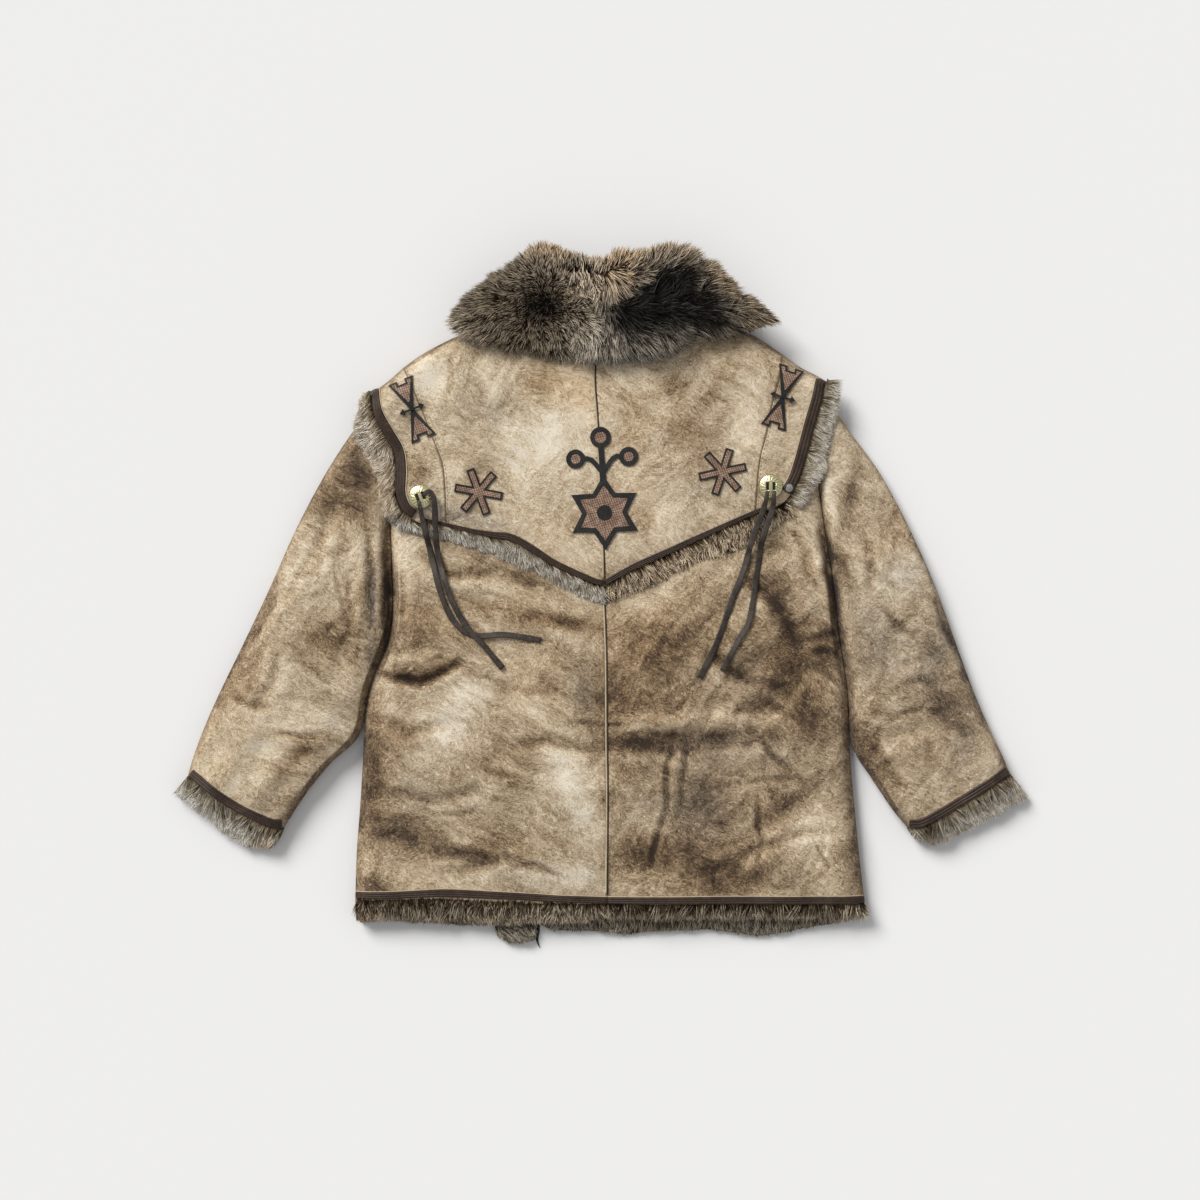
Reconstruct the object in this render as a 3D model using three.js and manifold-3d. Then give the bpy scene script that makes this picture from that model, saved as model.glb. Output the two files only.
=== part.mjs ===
// A shearling jacket with a western yoke, lying face down and flat, its back up.
// Millimetres. X runs to the wearer's right, Y towards the collar, Z up from the surface it lies on.
// The origin is on that surface, under the middle of the jacket.
import * as THREE from "three";
import { mergeVertices } from "three/addons/utils/BufferGeometryUtils.js";
import Module from "manifold-3d";

const wasm = await Module();
wasm.setup();

// Levels, from the surface up. Shearling is a hide with its pile on, so each layer is a thick wall.
const SEAM = 0.3; // clearance between pieces that are sewn or lie together
const SHEARLING = 13; // hide and pressed pile of one layer
const FRONT_TOP = SHEARLING;
const BACK_FLOOR = FRONT_TOP + SEAM;
const BACK_TOP = 27; // the back where the yoke covers it
const YOKE_FLOOR = BACK_TOP + SEAM;
const YOKE_TOP = YOKE_FLOOR + SHEARLING;
const COLLAR_FLOOR = YOKE_TOP + 0.7;
const COLLAR_RISE = 40; // the long pile of the collar, over a folded hide
const EDGE_WALL = 2.2; // height of a layer's edge where it rounds away
const ARMHOLE_ROUND = 20; // how far in from an edge each rounding reaches
const SIDE_ROUND = 26;
const UNDER_ROUND = 14;
const SLEEVE_ROUND = 34;
const HEM_ROUND = 22;
const CUFF_ROUND = 18;
const HEM_DROP = 5;
const SLIM = 0.9; // the most that a rounding takes of a narrow place's half width
const PLUMP = 7; // how far the open layers rise over the pressed ones

// Trim
const BINDING = 13; // width of the leather binding on the yoke
const HEM_BINDING = 10;
const CUFF_BINDING = 12;
const STRAP = 1.5; // thickness of binding leather
const LIFT = 0.45; // clearance of a flat trim over the faceted panel below it
const BEND = { strip: 2.2, shape: 5 }; // how far a trim looks round itself for the highest facet below
const APPLIQUE = 1.4; // thickness of the applied leather shapes
const OUTLINE = 2; // width of their dark outline
const CONCHO_RADIUS = 15;
const CONCHO_DOME = 3;
const SLOT = { width: 3, length: 9, depth: 10, apart: 8 };
const THONG = { width: 8, thickness: 2, edge: 0.55, steps: 14 }; // edge: its share of the thickness

// The back, a row for each section across it: the side seams and armholes, and the centre seam.
const BODY_SECTIONS = [
  { y: 320, left: -104, centre: 2, right: 118 },
  { y: 307, left: -186, centre: 0, right: 197 },
  { y: 280, left: -228, centre: -6, right: 240 },
  { y: 254, left: -263, centre: -5, right: 266 },
  { y: 182, left: -266, centre: -2, right: 269 },
  { y: 94, left: -264, centre: 3, right: 280 },
  { y: 19, left: -261, centre: 5, right: 292 },
  { y: -46, left: -262, centre: 7, right: 299 },
  { y: -84, left: -278, centre: 7, right: 305 },
  { y: -126, left: -293, centre: 8, right: 311 },
  { y: -181, left: -297, centre: 8, right: 312 },
  { y: -256, left: -301, centre: 9, right: 318 },
  { y: -318, left: -306, centre: 9, right: 324 },
  { y: -386, left: -308, centre: 9, right: 332 },
];
const HEM_Y = -386;
const NECK_Y = 320;
const BODY_ROWS = 26; // even, as the fronts and the under sleeves use every second row
const BODY_COLUMNS = 12;

// Each sleeve's own edges: the inner one from where it leaves the body, the outer one, and the cuff.
const SLEEVES = {
  left: {
    head: { x: -281, y: 243 },
    leaves: -181,
    inner: [
      { x: -314, y: -191 }, { x: -336, y: -206 }, { x: -353, y: -226 },
      { x: -372, y: -250 }, { x: -391, y: -283 }, { x: -398, y: -292 },
    ],
    outer: [
      { x: -281, y: 243 }, { x: -306, y: 213 }, { x: -343, y: 157 }, { x: -383, y: 82 },
      { x: -416, y: 7 }, { x: -452, y: -68 }, { x: -488, y: -143 }, { x: -514, y: -209 },
      { x: -518, y: -226 },
    ],
    cuff: [{ x: -518, y: -226 }, { x: -467, y: -264 }, { x: -417, y: -289 }, { x: -398, y: -292 }],
    furTips: [
      { x: -536, y: -248 }, { x: -508, y: -269 }, { x: -472, y: -298 }, { x: -451, y: -312 },
      { x: -422, y: -319 }, { x: -405, y: -309 },
    ],
  },
  right: {
    head: { x: 282, y: 247 },
    leaves: -181,
    inner: [
      { x: 318, y: -199 }, { x: 339, y: -226 }, { x: 356, y: -254 }, { x: 370, y: -274 },
      { x: 386, y: -292 },
    ],
    outer: [
      { x: 282, y: 247 }, { x: 297, y: 229 }, { x: 321, y: 194 }, { x: 349, y: 157 },
      { x: 389, y: 82 }, { x: 422, y: 7 }, { x: 449, y: -68 }, { x: 477, y: -143 },
      { x: 504, y: -199 }, { x: 514, y: -223 },
    ],
    cuff: [{ x: 514, y: -223 }, { x: 462, y: -257 }, { x: 408, y: -288 }, { x: 386, y: -292 }],
    furTips: [
      { x: 538, y: -253 }, { x: 518, y: -264 }, { x: 489, y: -281 }, { x: 466, y: -291 },
      { x: 442, y: -304 }, { x: 416, y: -313 }, { x: 393, y: -304 },
    ],
  },
};
const SLEEVE_COLUMNS = 10;
const CUFF_ROWS = 6;

// The yoke's edges: over the shoulder, down the sleeve side, along the pointed edge, and its seams.
const YOKE = {
  shoulder: {
    left: {
      neck: [
        { x: -248, y: 287 }, { x: -226, y: 304 }, { x: -201, y: 316 }, { x: -182, y: 329 },
        { x: -101, y: 337 }, { x: 3, y: 333 },
      ],
      tip: [{ x: -287, y: 256 }, { x: -269, y: 268 }, { x: -248, y: 287 }],
    },
    right: {
      neck: [
        { x: 3, y: 333 }, { x: 112, y: 337 }, { x: 168, y: 337 }, { x: 184, y: 333 },
        { x: 204, y: 321 }, { x: 228, y: 304 },
      ],
      tip: [{ x: 228, y: 304 }, { x: 256, y: 284 }, { x: 271, y: 278 }, { x: 282, y: 271 }],
    },
  },
  seam: {
    left: [
      { x: -248, y: 287 }, { x: -232, y: 253 }, { x: -208, y: 193 }, { x: -196, y: 157 },
      { x: -193, y: 86 },
    ],
    right: [
      { x: 228, y: 304 }, { x: 223, y: 272 }, { x: 214, y: 242 }, { x: 208, y: 207 },
      { x: 198, y: 168 }, { x: 193, y: 101 },
    ],
  },
  centre: [
    { x: 3, y: 333 }, { x: -7, y: 288 }, { x: -3, y: 213 }, { x: 4, y: 56 }, { x: 5, y: 11 },
  ],
  side: {
    left: [
      { x: -287, y: 256 }, { x: -284, y: 228 }, { x: -272, y: 202 }, { x: -259, y: 179 },
      { x: -256, y: 157 }, { x: -256, y: 126 }, { x: -246, y: 103 },
    ],
    right: [
      { x: 282, y: 271 }, { x: 276, y: 242 }, { x: 266, y: 206 }, { x: 256, y: 168 },
      { x: 247, y: 143 }, { x: 233, y: 119 },
    ],
  },
  corner: {
    left: [{ x: -246, y: 103 }, { x: -231, y: 92 }, { x: -213, y: 87 }, { x: -193, y: 86 }],
    right: [{ x: 193, y: 101 }, { x: 212, y: 107 }, { x: 233, y: 119 }],
  },
  edge: {
    left: [
      { x: -193, y: 86 }, { x: -136, y: 72 }, { x: -111, y: 67 }, { x: -84, y: 52 },
      { x: -58, y: 36 }, { x: -13, y: 16 }, { x: 5, y: 11 },
    ],
    right: [
      { x: 5, y: 11 }, { x: 44, y: 33 }, { x: 88, y: 53 }, { x: 133, y: 74 }, { x: 193, y: 101 },
    ],
  },
  sideFur: {
    left: [
      { x: -296, y: 252 }, { x: -309, y: 206 }, { x: -292, y: 176 }, { x: -279, y: 150 },
      { x: -275, y: 122 }, { x: -268, y: 98 },
    ],
    right: [
      { x: 296, y: 258 }, { x: 297, y: 233 }, { x: 287, y: 206 }, { x: 283, y: 176 },
      { x: 277, y: 152 }, { x: 262, y: 126 }, { x: 250, y: 111 },
    ],
  },
  edgeFur: {
    left: [
      { x: -262, y: 91 }, { x: -240, y: 80 }, { x: -203, y: 74 }, { x: -169, y: 63 },
      { x: -141, y: 54 }, { x: -92, y: 34 }, { x: -58, y: 17 }, { x: -24, y: 0 }, { x: 5, y: -9 },
    ],
    right: [
      { x: 5, y: -9 }, { x: 56, y: 11 }, { x: 88, y: 26 }, { x: 122, y: 42 }, { x: 156, y: 50 },
      { x: 186, y: 64 }, { x: 223, y: 88 }, { x: 243, y: 103 },
    ],
  },
};
const YOKE_ROWS = 9;
const YOKE_COLUMNS = 9;
const SHOULDER_COLUMNS = 4;
const WRAP = 0.03; // share of the yoke's depth that turns down over the shoulder
const WRAP_FLOOR = 3;

// The turned-down collar, seen from above, and the under collar that lies on the surface.
const COLLAR = {
  left: {
    top: [
      { x: -188, y: 344 }, { x: -167, y: 373 }, { x: -129, y: 404 }, { x: -99, y: 426 },
      { x: -83, y: 440 }, { x: -64, y: 436 }, { x: -38, y: 428 }, { x: 2, y: 417 },
    ],
    low: [
      { x: -188, y: 330 }, { x: -169, y: 323 }, { x: -147, y: 311 }, { x: -113, y: 303 },
      { x: -47, y: 291 }, { x: 2, y: 290 },
    ],
  },
  right: {
    top: [
      { x: 2, y: 417 }, { x: 16, y: 428 }, { x: 51, y: 427 }, { x: 73, y: 434 },
      { x: 111, y: 436 }, { x: 121, y: 424 }, { x: 142, y: 416 }, { x: 156, y: 396 },
      { x: 184, y: 373 }, { x: 222, y: 344 },
    ],
    low: [
      { x: 2, y: 290 }, { x: 44, y: 289 }, { x: 76, y: 293 }, { x: 96, y: 304 },
      { x: 124, y: 316 }, { x: 169, y: 324 }, { x: 196, y: 336 }, { x: 220, y: 338 },
    ],
  },
  under: {
    top: [
      { x: -172, y: 354 }, { x: -126, y: 392 }, { x: -88, y: 414 }, { x: -1, y: 407 },
      { x: 110, y: 414 }, { x: 160, y: 372 }, { x: 188, y: 350 },
    ],
    low: [
      { x: -172, y: 340 }, { x: -101, y: 343 }, { x: 3, y: 341 }, { x: 112, y: 343 },
      { x: 168, y: 343 }, { x: 188, y: 341 },
    ],
  },
};
const COLLAR_COLUMNS = 14;
const COLLAR_ROWS = 9;

// Where the pile ends below the hem, and the front corner that hangs out under it.
const HEM_FUR = {
  back: [
    { x: -306, y: -407 }, { x: -251, y: -406 }, { x: -201, y: -408 }, { x: -138, y: -411 },
    { x: -51, y: -410 }, { x: 9, y: -404 }, { x: 142, y: -404 }, { x: 224, y: -403 },
    { x: 337, y: -401 },
  ],
  frontLeft: [
    { x: -303, y: -410 }, { x: -251, y: -409 }, { x: -201, y: -412 }, { x: -151, y: -415 },
    { x: -136, y: -415 },
  ],
  frontRight: [
    { x: -74, y: -415 }, { x: -44, y: -423 }, { x: -1, y: -422 }, { x: 39, y: -426 },
    { x: 88, y: -421 }, { x: 142, y: -421 }, { x: 178, y: -426 }, { x: 223, y: -426 },
    { x: 278, y: -414 }, { x: 323, y: -407 }, { x: 336, y: -398 },
  ],
};
const FRONT_HEM_Y = -392;
const OPENING_X = -77; // where the fronts meet, off centre as the jacket lies
const CORNER = {
  left: [{ x: -134, y: -392.4 }, { x: -134, y: -413 }, { x: -127, y: -431 }],
  low: [{ x: -127, y: -431 }, { x: -111, y: -437 }, { x: -96, y: -437 }, { x: -84, y: -433 }],
  right: [{ x: -79, y: -392.4 }, { x: -80, y: -413 }, { x: -84, y: -433 }],
  spike: { top: -405, bend: -430, foot: -444, x: -77, width: 5 },
};

// The largest folds, a row each: middle, direction in degrees, half length, half width, and rise.
const FOLDS = [
  { x: -238, y: -102, turn: -4, reach: 52, width: 9, rise: -6 }, // under the left armhole
  { x: -252, y: -76, turn: 12, reach: 30, width: 9, rise: 4 },
  { x: -246, y: 10, turn: 88, reach: 70, width: 13, rise: 3 },
  { x: 70, y: -183, turn: 2, reach: 75, width: 8, rise: -5 }, // across the right half
  { x: 90, y: -164, turn: 4, reach: 80, width: 12, rise: 3 },
  { x: 76, y: -272, turn: 80, reach: 62, width: 6, rise: -3 },
  { x: 197, y: -292, turn: 89, reach: 46, width: 6, rise: -3 },
  { x: 238, y: -222, turn: -47, reach: 32, width: 7, rise: -3 },
  { x: -60, y: -158, turn: -2, reach: 40, width: 8, rise: -3 },
  { x: -120, y: -230, turn: -30, reach: 60, width: 16, rise: 3 },
  { x: -150, y: -300, turn: 8, reach: 80, width: 20, rise: -3 },
  { x: 160, y: -60, turn: 20, reach: 70, width: 22, rise: 3 },
  { x: 272, y: -62, turn: 6, reach: 26, width: 6, rise: -4 }, // where the right sleeve pulls
  { x: 272, y: -92, turn: -14, reach: 30, width: 6, rise: -3 },
  { x: 120, y: 268, turn: -28, reach: 60, width: 9, rise: -2 }, // yoke, out of the collar
  { x: -186, y: 250, turn: 86, reach: 40, width: 9, rise: -2 },
  { x: 60, y: 160, turn: 62, reach: 70, width: 20, rise: 2 },
  { x: -96, y: 170, turn: -30, reach: 60, width: 18, rise: 2 },
  { x: -378, y: -174, turn: -2, reach: 44, width: 8, rise: -4 }, // sleeves
  { x: -330, y: -20, turn: 62, reach: 90, width: 16, rise: -4 },
  { x: -430, y: -110, turn: 60, reach: 70, width: 22, rise: 3 },
  { x: 372, y: -42, turn: -45, reach: 34, width: 7, rise: -4 },
  { x: 392, y: -108, turn: 18, reach: 34, width: 7, rise: -3 },
  { x: 350, y: -150, turn: 70, reach: 60, width: 14, rise: 3 },
  { x: 340, y: 20, turn: -62, reach: 80, width: 15, rise: -4 },
];
const COLLAR_FOLDS = [
  { x: 58, y: 388, turn: 26, reach: 56, width: 12, rise: -13 }, // between the roll and the fall
  { x: -40, y: 378, turn: -16, reach: 42, width: 14, rise: -8 },
  { x: 4, y: 340, turn: 88, reach: 50, width: 10, rise: -6 },
  { x: 120, y: 340, turn: -6, reach: 70, width: 14, rise: 4 },
];

// Applied shapes and conchos
const STAR = { x: 5, y: 103, radius: 47, valley: 28, width: 6, hub: 9.4, tilt: 92 };
const RINGS = [
  { name: "top", x: 0, y: 197, radius: 13, hole: 7.5 },
  { name: "left", x: -31, y: 170, radius: 12, hole: 6.4 },
  { name: "right", x: 35, y: 173, radius: 12, hole: 6.4 },
];
// The stem forks at a height, a share of the way from the star's top to the top ring. It and its two
// branches run into the star and the rings.
const STEM = { width: 7, forkY: 155, forkShare: 0.15, branchWidth: 6, intoStar: 6, intoRing: 9, sag: 0.42 };
const ASTERISKS = {
  left: { x: -152, y: 129, tilt: 50 },
  right: { x: 152, y: 154, tilt: 12 },
};
const ASTERISK = { radius: 30, width: 10.5, bars: 3 };
const HOURGLASSES = {
  left: { x: -235, y: 232, tilt: 112 },
  right: { x: 227, y: 247, tilt: 73 },
};
const HOURGLASS = {
  height: 39.5, base: 33, waist: 4, notch: 10, notchDepth: 5.5,
  slant: 1.5, // how much wider an outline is across a slanted side
  inlayFrom: 6.4, inlayTip: 0.6, // where an inlay's point lies, and half its width there
};
const ARROW = { length: 33, shaft: 2.4, head: 9, headLength: 7 };
const CONCHOS = { left: { x: -224, y: 123 }, right: { x: 212, y: 136 } };
const ROUND_SIDES = 20; // sides of a round shape

// The laced thongs, two free ends on each concho, as they lie. One of each pair lies on the other
// down to a height.
const THONGS = [
  {
    name: "left_long", side: "left", over: 2.6, downTo: -100,
    points: [
      { x: -222, y: 119 }, { x: -214, y: 92 }, { x: -203, y: 50 }, { x: -188, y: 2 },
      { x: -168, y: -36 }, { x: -146, y: -62 }, { x: -122, y: -91 },
    ],
  },
  {
    name: "left_short", side: "left", over: 0, downTo: 0,
    points: [
      { x: -226, y: 117 }, { x: -222, y: 92 }, { x: -213, y: 48 }, { x: -199, y: -4 },
      { x: -182, y: -36 }, { x: -156, y: -50 }, { x: -119, y: -49 }, { x: -74, y: -56 },
    ],
  },
  {
    name: "right_long", side: "right", over: 0, downTo: 0,
    points: [
      { x: 208, y: 130 }, { x: 203, y: 107 }, { x: 189, y: 69 }, { x: 179, y: 32 },
      { x: 164, y: -6 }, { x: 146, y: -56 }, { x: 124, y: -103 },
    ],
  },
  {
    name: "right_short", side: "right", over: 2.6, downTo: 60,
    points: [
      { x: 216, y: 130 }, { x: 214, y: 107 }, { x: 202, y: 69 }, { x: 194, y: 19 },
      { x: 186, y: -30 }, { x: 172, y: -56 }, { x: 152, y: -94 },
    ],
  },
];

const MATERIALS = {
  suede: { color: 0xb39a7b, roughness: 0.9 },
  fur: { color: 0x8d7f6c, roughness: 1 },
  darkFur: { color: 0x4a3c30, roughness: 1 },
  binding: { color: 0x3b302a, roughness: 0.55 },
  black: { color: 0x23211f, roughness: 0.5 },
  inlay: { color: 0x8a6350, roughness: 0.7 },
  concho: { color: 0xc9bd7c, roughness: 0.25, metalness: 1 },
  thong: { color: 0x4d4540, roughness: 0.6 },
};

const jacket = new THREE.Group();
const materials = {};
for (const [name, finish] of Object.entries(MATERIALS)) {
  materials[name] = new THREE.MeshStandardMaterial({ metalness: 0, ...finish });
}

function place(name, geometry, finish) {
  const mesh = new THREE.Mesh(geometry, materials[finish]);
  mesh.name = name;
  jacket.add(mesh);
  return geometry;
}

const radians = THREE.MathUtils.degToRad;
const lerp = THREE.MathUtils.lerp;
const smooth = (x) => THREE.MathUtils.smoothstep(x, 0, 1);

// A smooth line through points, read at an even share of its length.
function line(points) {
  const curve = new THREE.SplineCurve(points.map((p) => new THREE.Vector2(p.x, p.y)));
  return (t) => curve.getPointAt(Math.min(1, Math.max(0, t)));
}

// A value of the body's sections at a height, on a smooth line through the rows.
function bodyAt(column, y) {
  const rows = BODY_SECTIONS;
  const after = Math.min(rows.length - 1, Math.max(1, rows.findIndex((row) => row.y <= y)));
  const [a, b] = [rows[after - 1], rows[after]];
  const before = rows[Math.max(0, after - 2)];
  const next = rows[Math.min(rows.length - 1, after + 1)];
  const slopeA = (b[column] - before[column]) / (b.y - before.y);
  const slopeB = (next[column] - a[column]) / (next.y - a.y);
  const run = b.y - a.y;
  const t = (y - a.y) / run;
  const [t2, t3] = [t * t, t * t * t];
  return (
    (2 * t3 - 3 * t2 + 1) * a[column] + (t3 - 2 * t2 + t) * run * slopeA
    + (3 * t2 - 2 * t3) * b[column] + (t3 - t2) * run * slopeB
  );
}

// A patch filled in between four edges: u from left to right, v from the top down.
function patch({ left, right, top, low }) {
  const [l, r, t, b] = [left, right, top, low].map((edge) => line(edge));
  const [tl, tr, bl, br] = [t(0), t(1), b(0), b(1)];
  const mix = (axis, u, v) =>
    lerp(t(u)[axis], b(u)[axis], v) + lerp(l(v)[axis], r(v)[axis], u)
    - lerp(lerp(tl[axis], tr[axis], u), lerp(bl[axis], br[axis], u), v);
  return (u, v) => ({ x: mix("x", u, v), y: mix("y", u, v) });
}

// A closed solid over a grid of plan points, between an upper and a lower surface. Both surfaces are
// told how far a point is from each edge. A level lower surface is closed with few triangles.
function slab({ at, columns, rows, upper, lower, level }) {
  const us = Array.isArray(columns) ? columns : stations(columns);
  const vs = Array.isArray(rows) ? rows : stations(rows);
  const [wide, tall] = [us.length, vs.length];
  const grid = vs.map((v) => us.map((u) => at(u, v)));
  const far = (p, q) => Math.hypot(p.x - q.x, p.y - q.y);
  const high = [];
  const deep = [];
  grid.forEach((row, j) => row.forEach((p, i) => {
    const width = far(row[0], row[wide - 1]);
    const length = far(grid[0][i], grid[tall - 1][i]);
    const from = {
      left: us[i] * width, right: (1 - us[i]) * width,
      top: vs[j] * length, low: (1 - vs[j]) * length,
    };
    high.push(p.x, p.y, upper(p.x, p.y, from, us[i], vs[j]));
    deep.push(p.x, p.y, level ?? lower(p.x, p.y, from, us[i], vs[j]));
  }));
  const count = wide * tall;
  const index = [];
  for (let j = 0; j < tall - 1; j += 1) {
    for (let i = 0; i < wide - 1; i += 1) {
      const [a, b] = [j * wide + i, j * wide + i + 1];
      const [c, d] = [a + wide, b + wide];
      index.push(a, c, b, b, c, d);
      if (level === undefined) {
        index.push(a + count, b + count, c + count, b + count, d + count, c + count);
      }
    }
  }
  const rim = rimOf(wide, tall);
  rim.forEach((a, k) => {
    const b = rim[(k + 1) % rim.length];
    index.push(a, a + count, b, b, a + count, b + count);
  });
  if (level !== undefined) {
    const outline = rim.map((k) => new THREE.Vector2(high[3 * k], high[3 * k + 1]));
    for (const [a, b, c] of THREE.ShapeUtils.triangulateShape(outline, [])) {
      index.push(rim[a] + count, rim[c] + count, rim[b] + count);
    }
  }
  const geometry = new THREE.BufferGeometry();
  geometry.setAttribute("position", new THREE.Float32BufferAttribute([...high, ...deep], 3));
  geometry.setIndex(index);
  geometry.userData.top = { wide, tall };
  return geometry;
}

function stations(count) {
  return Array.from({ length: count + 1 }, (_, k) => k / count);
}

// Stations that crowd towards the start (below 1) or the start and the end (both).
function crowded(count, power, both = false) {
  return stations(count).map((t) => {
    if (!both) return t ** power;
    const side = t < 0.5 ? t : 1 - t;
    const moved = 0.5 * (2 * side) ** power;
    return t < 0.5 ? moved : 1 - moved;
  });
}

// The grid's border, anticlockwise from above.
function rimOf(wide, tall) {
  const rim = [];
  for (let j = 0; j < tall - 1; j += 1) rim.push(j * wide);
  for (let i = 0; i < wide - 1; i += 1) rim.push((tall - 1) * wide + i);
  for (let j = tall - 1; j > 0; j -= 1) rim.push(j * wide + wide - 1);
  for (let i = wide - 1; i > 0; i -= 1) rim.push(i);
  return rim;
}

// A quarter round: 0 at an edge, 1 from a radius inside it.
function roundOff(distance, radius) {
  const t = 1 - Math.min(1, Math.max(0, distance / radius));
  return Math.sqrt(Math.max(0, 1 - t * t));
}

function folded(x, y, folds) {
  let rise = 0;
  for (const fold of folds) {
    const [dx, dy] = [x - fold.x, y - fold.y];
    const [c, s] = [Math.cos(radians(fold.turn)), Math.sin(radians(fold.turn))];
    const along = (dx * c + dy * s) / fold.reach;
    const across = (dy * c - dx * s) / fold.width;
    rise += fold.rise * Math.exp(-(along ** 4) - across ** 2);
  }
  return rise;
}

// The yoke's pointed edge, as a height for each x.
const POINT = { y: 11, slope: 0.44, half: 215 };
const OPEN = { below: 20, over: 80 };
function yokePoint(x) {
  return POINT.y + POINT.slope * Math.min(Math.abs(x), POINT.half);
}

// How far the open back and sleeves rise, from nothing under the yoke.
function openRise(x, y) {
  const below = smooth((yokePoint(x) - OPEN.below - y) / OPEN.over);
  return below * (PLUMP + folded(x, y, FOLDS));
}

// The top of a panel, read off its own facets, so that what lies on it follows it.
function facetHeight(x, y, panels) {
  let best = null;
  for (const geometry of panels) {
    const { wide, tall } = geometry.userData.top;
    const p = geometry.attributes.position.array;
    const index = geometry.index.array;
    const step = geometry.userData.both ? 12 : 6;
    for (let cell = 0; cell < (wide - 1) * (tall - 1); cell += 1) {
      for (const start of [0, 3]) {
        const [a, b, c] = [0, 1, 2].map((k) => 3 * index[cell * step + start + k]);
        const area = cross(p[a], p[a + 1], p[b], p[b + 1], p[c], p[c + 1]);
        const wa = cross(x, y, p[b], p[b + 1], p[c], p[c + 1]) / area;
        const wb = cross(p[a], p[a + 1], x, y, p[c], p[c + 1]) / area;
        const wc = 1 - wa - wb;
        if (Math.min(wa, wb, wc) < -1e-6) continue;
        const z = wa * p[a + 2] + wb * p[b + 2] + wc * p[c + 2];
        best = best === null ? z : Math.max(best, z);
      }
    }
  }
  return best;
}

function cross(ax, ay, bx, by, cx, cy) {
  return (bx - ax) * (cy - ay) - (cx - ax) * (by - ay);
}

// The highest of the panels near a point, for what bridges the valleys between them.
function bridged(x, y, panels, reach) {
  let best = 0;
  for (const dx of [-reach, 0, reach]) {
    for (const dy of [-reach, 0, reach]) {
      best = Math.max(best, facetHeight(x + dx, y + dy, panels) ?? 0);
    }
  }
  return best;
}

// Body: the back in two halves on the two fronts.
function bodyHalf(side) {
  const outer = side === "left" ? -1 : 1;
  const seamX = (y) => bodyAt("centre", y) + (outer * SEAM) / 2;
  return (u, v, low = HEM_Y) => {
    const y = lerp(NECK_Y, low, v);
    const [edge, seam] = [bodyAt(side, Math.max(y, HEM_Y)), seamX(Math.max(y, HEM_Y))];
    return { x: outer < 0 ? lerp(edge, seam, u) : lerp(seam, edge, u), y };
  };
}

const SIDE_BELOW = 150; // how far below the origin the side's own rounding is reached

function backTop(side) {
  return (x, y, from) => {
    const open = BACK_TOP + openRise(x, y);
    const radius = lerp(ARMHOLE_ROUND, SIDE_ROUND, smooth(-y / SIDE_BELOW));
    const edge = side === "left" ? from.left : from.right;
    const wall = BACK_FLOOR + EDGE_WALL;
    const rounded = wall + (open - wall) * roundOff(edge, radius);
    return rounded - HEM_DROP * (1 - roundOff(from.low, HEM_ROUND)) * roundOff(edge, radius);
  };
}

const panels = {};
for (const side of ["left", "right"]) {
  const crowd = crowded(BODY_COLUMNS, 1.35);
  const columns = side === "left" ? crowd : crowd.map((u) => 1 - u).reverse();
  panels[`back_${side}`] = slab({
    at: bodyHalf(side), columns, rows: BODY_ROWS, upper: backTop(side), level: BACK_FLOOR,
  });
  place(`back_${side}`, panels[`back_${side}`], "suede");
}

// The fronts lie under the back and meet at the opening. Their outer edges round up off the surface.
const bodyRow = (j) => lerp(NECK_Y, HEM_Y, j / BODY_ROWS);
const frontRows = [];
for (let j = 0; j < BODY_ROWS; j += 2) {
  frontRows.push((NECK_Y - bodyRow(j)) / (NECK_Y - FRONT_HEM_Y));
}
frontRows.push(1);
for (const side of ["left", "right"]) {
  const half = bodyHalf(side);
  const edges = [0, 0.05, 0.3, 0.65, 1];
  const columns = side === "left" ? edges : edges.map((u) => 1 - u).reverse();
  const opening = OPENING_X + (side === "left" ? -SEAM : SEAM) / 2;
  const at = (u, v) => {
    const p = half(u, v, FRONT_HEM_Y);
    const edge = half(side === "left" ? 0 : 1, v, FRONT_HEM_Y);
    const share = side === "left" ? u : 1 - u;
    return { x: lerp(edge.x, opening, share), y: p.y };
  };
  place(`front_${side}`, slab({
    at, columns, rows: frontRows, upper: () => FRONT_TOP,
    lower: (x, y, from) => {
      const edge = side === "left" ? from.left : from.right;
      return (FRONT_TOP - EDGE_WALL) * (1 - roundOff(edge, UNDER_ROUND));
    },
  }), "suede");
}

// Sleeves: sections from the head to the cuff. The first ones end on the body's own rows, so that the
// armhole seam is the same line on both sides.
function sleeveSections(side) {
  const sleeve = SLEEVES[side];
  const out = side === "left" ? -1 : 1;
  const inner = [];
  for (let j = 0; j <= BODY_ROWS; j += 1) {
    const y = bodyRow(j);
    if (y < sleeve.head.y && y >= sleeve.leaves) {
      inner.push({ x: bodyAt(side, y) + out * SEAM * 1.5, y, paired: j % 2 === 0 });
    }
  }
  while (!inner[0].paired) inner.shift();
  while (!inner[inner.length - 1].paired) inner.pop();
  const last = inner[inner.length - 1];
  const free = line([last, ...sleeve.inner]);
  for (let k = 1; k <= CUFF_ROWS; k += 1) {
    const p = free(k / CUFF_ROWS);
    inner.push({ x: p.x, y: p.y, paired: k % 2 === 0 });
  }
  let run = 0;
  const lengths = inner.map((p, k) => {
    run += k ? Math.hypot(p.x - inner[k - 1].x, p.y - inner[k - 1].y) : 0;
    return run;
  });
  const outer = line(sleeve.outer);
  return inner.map((p, k) => ({ inner: p, outer: outer(lengths[k] / run), share: lengths[k] / run }));
}

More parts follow.
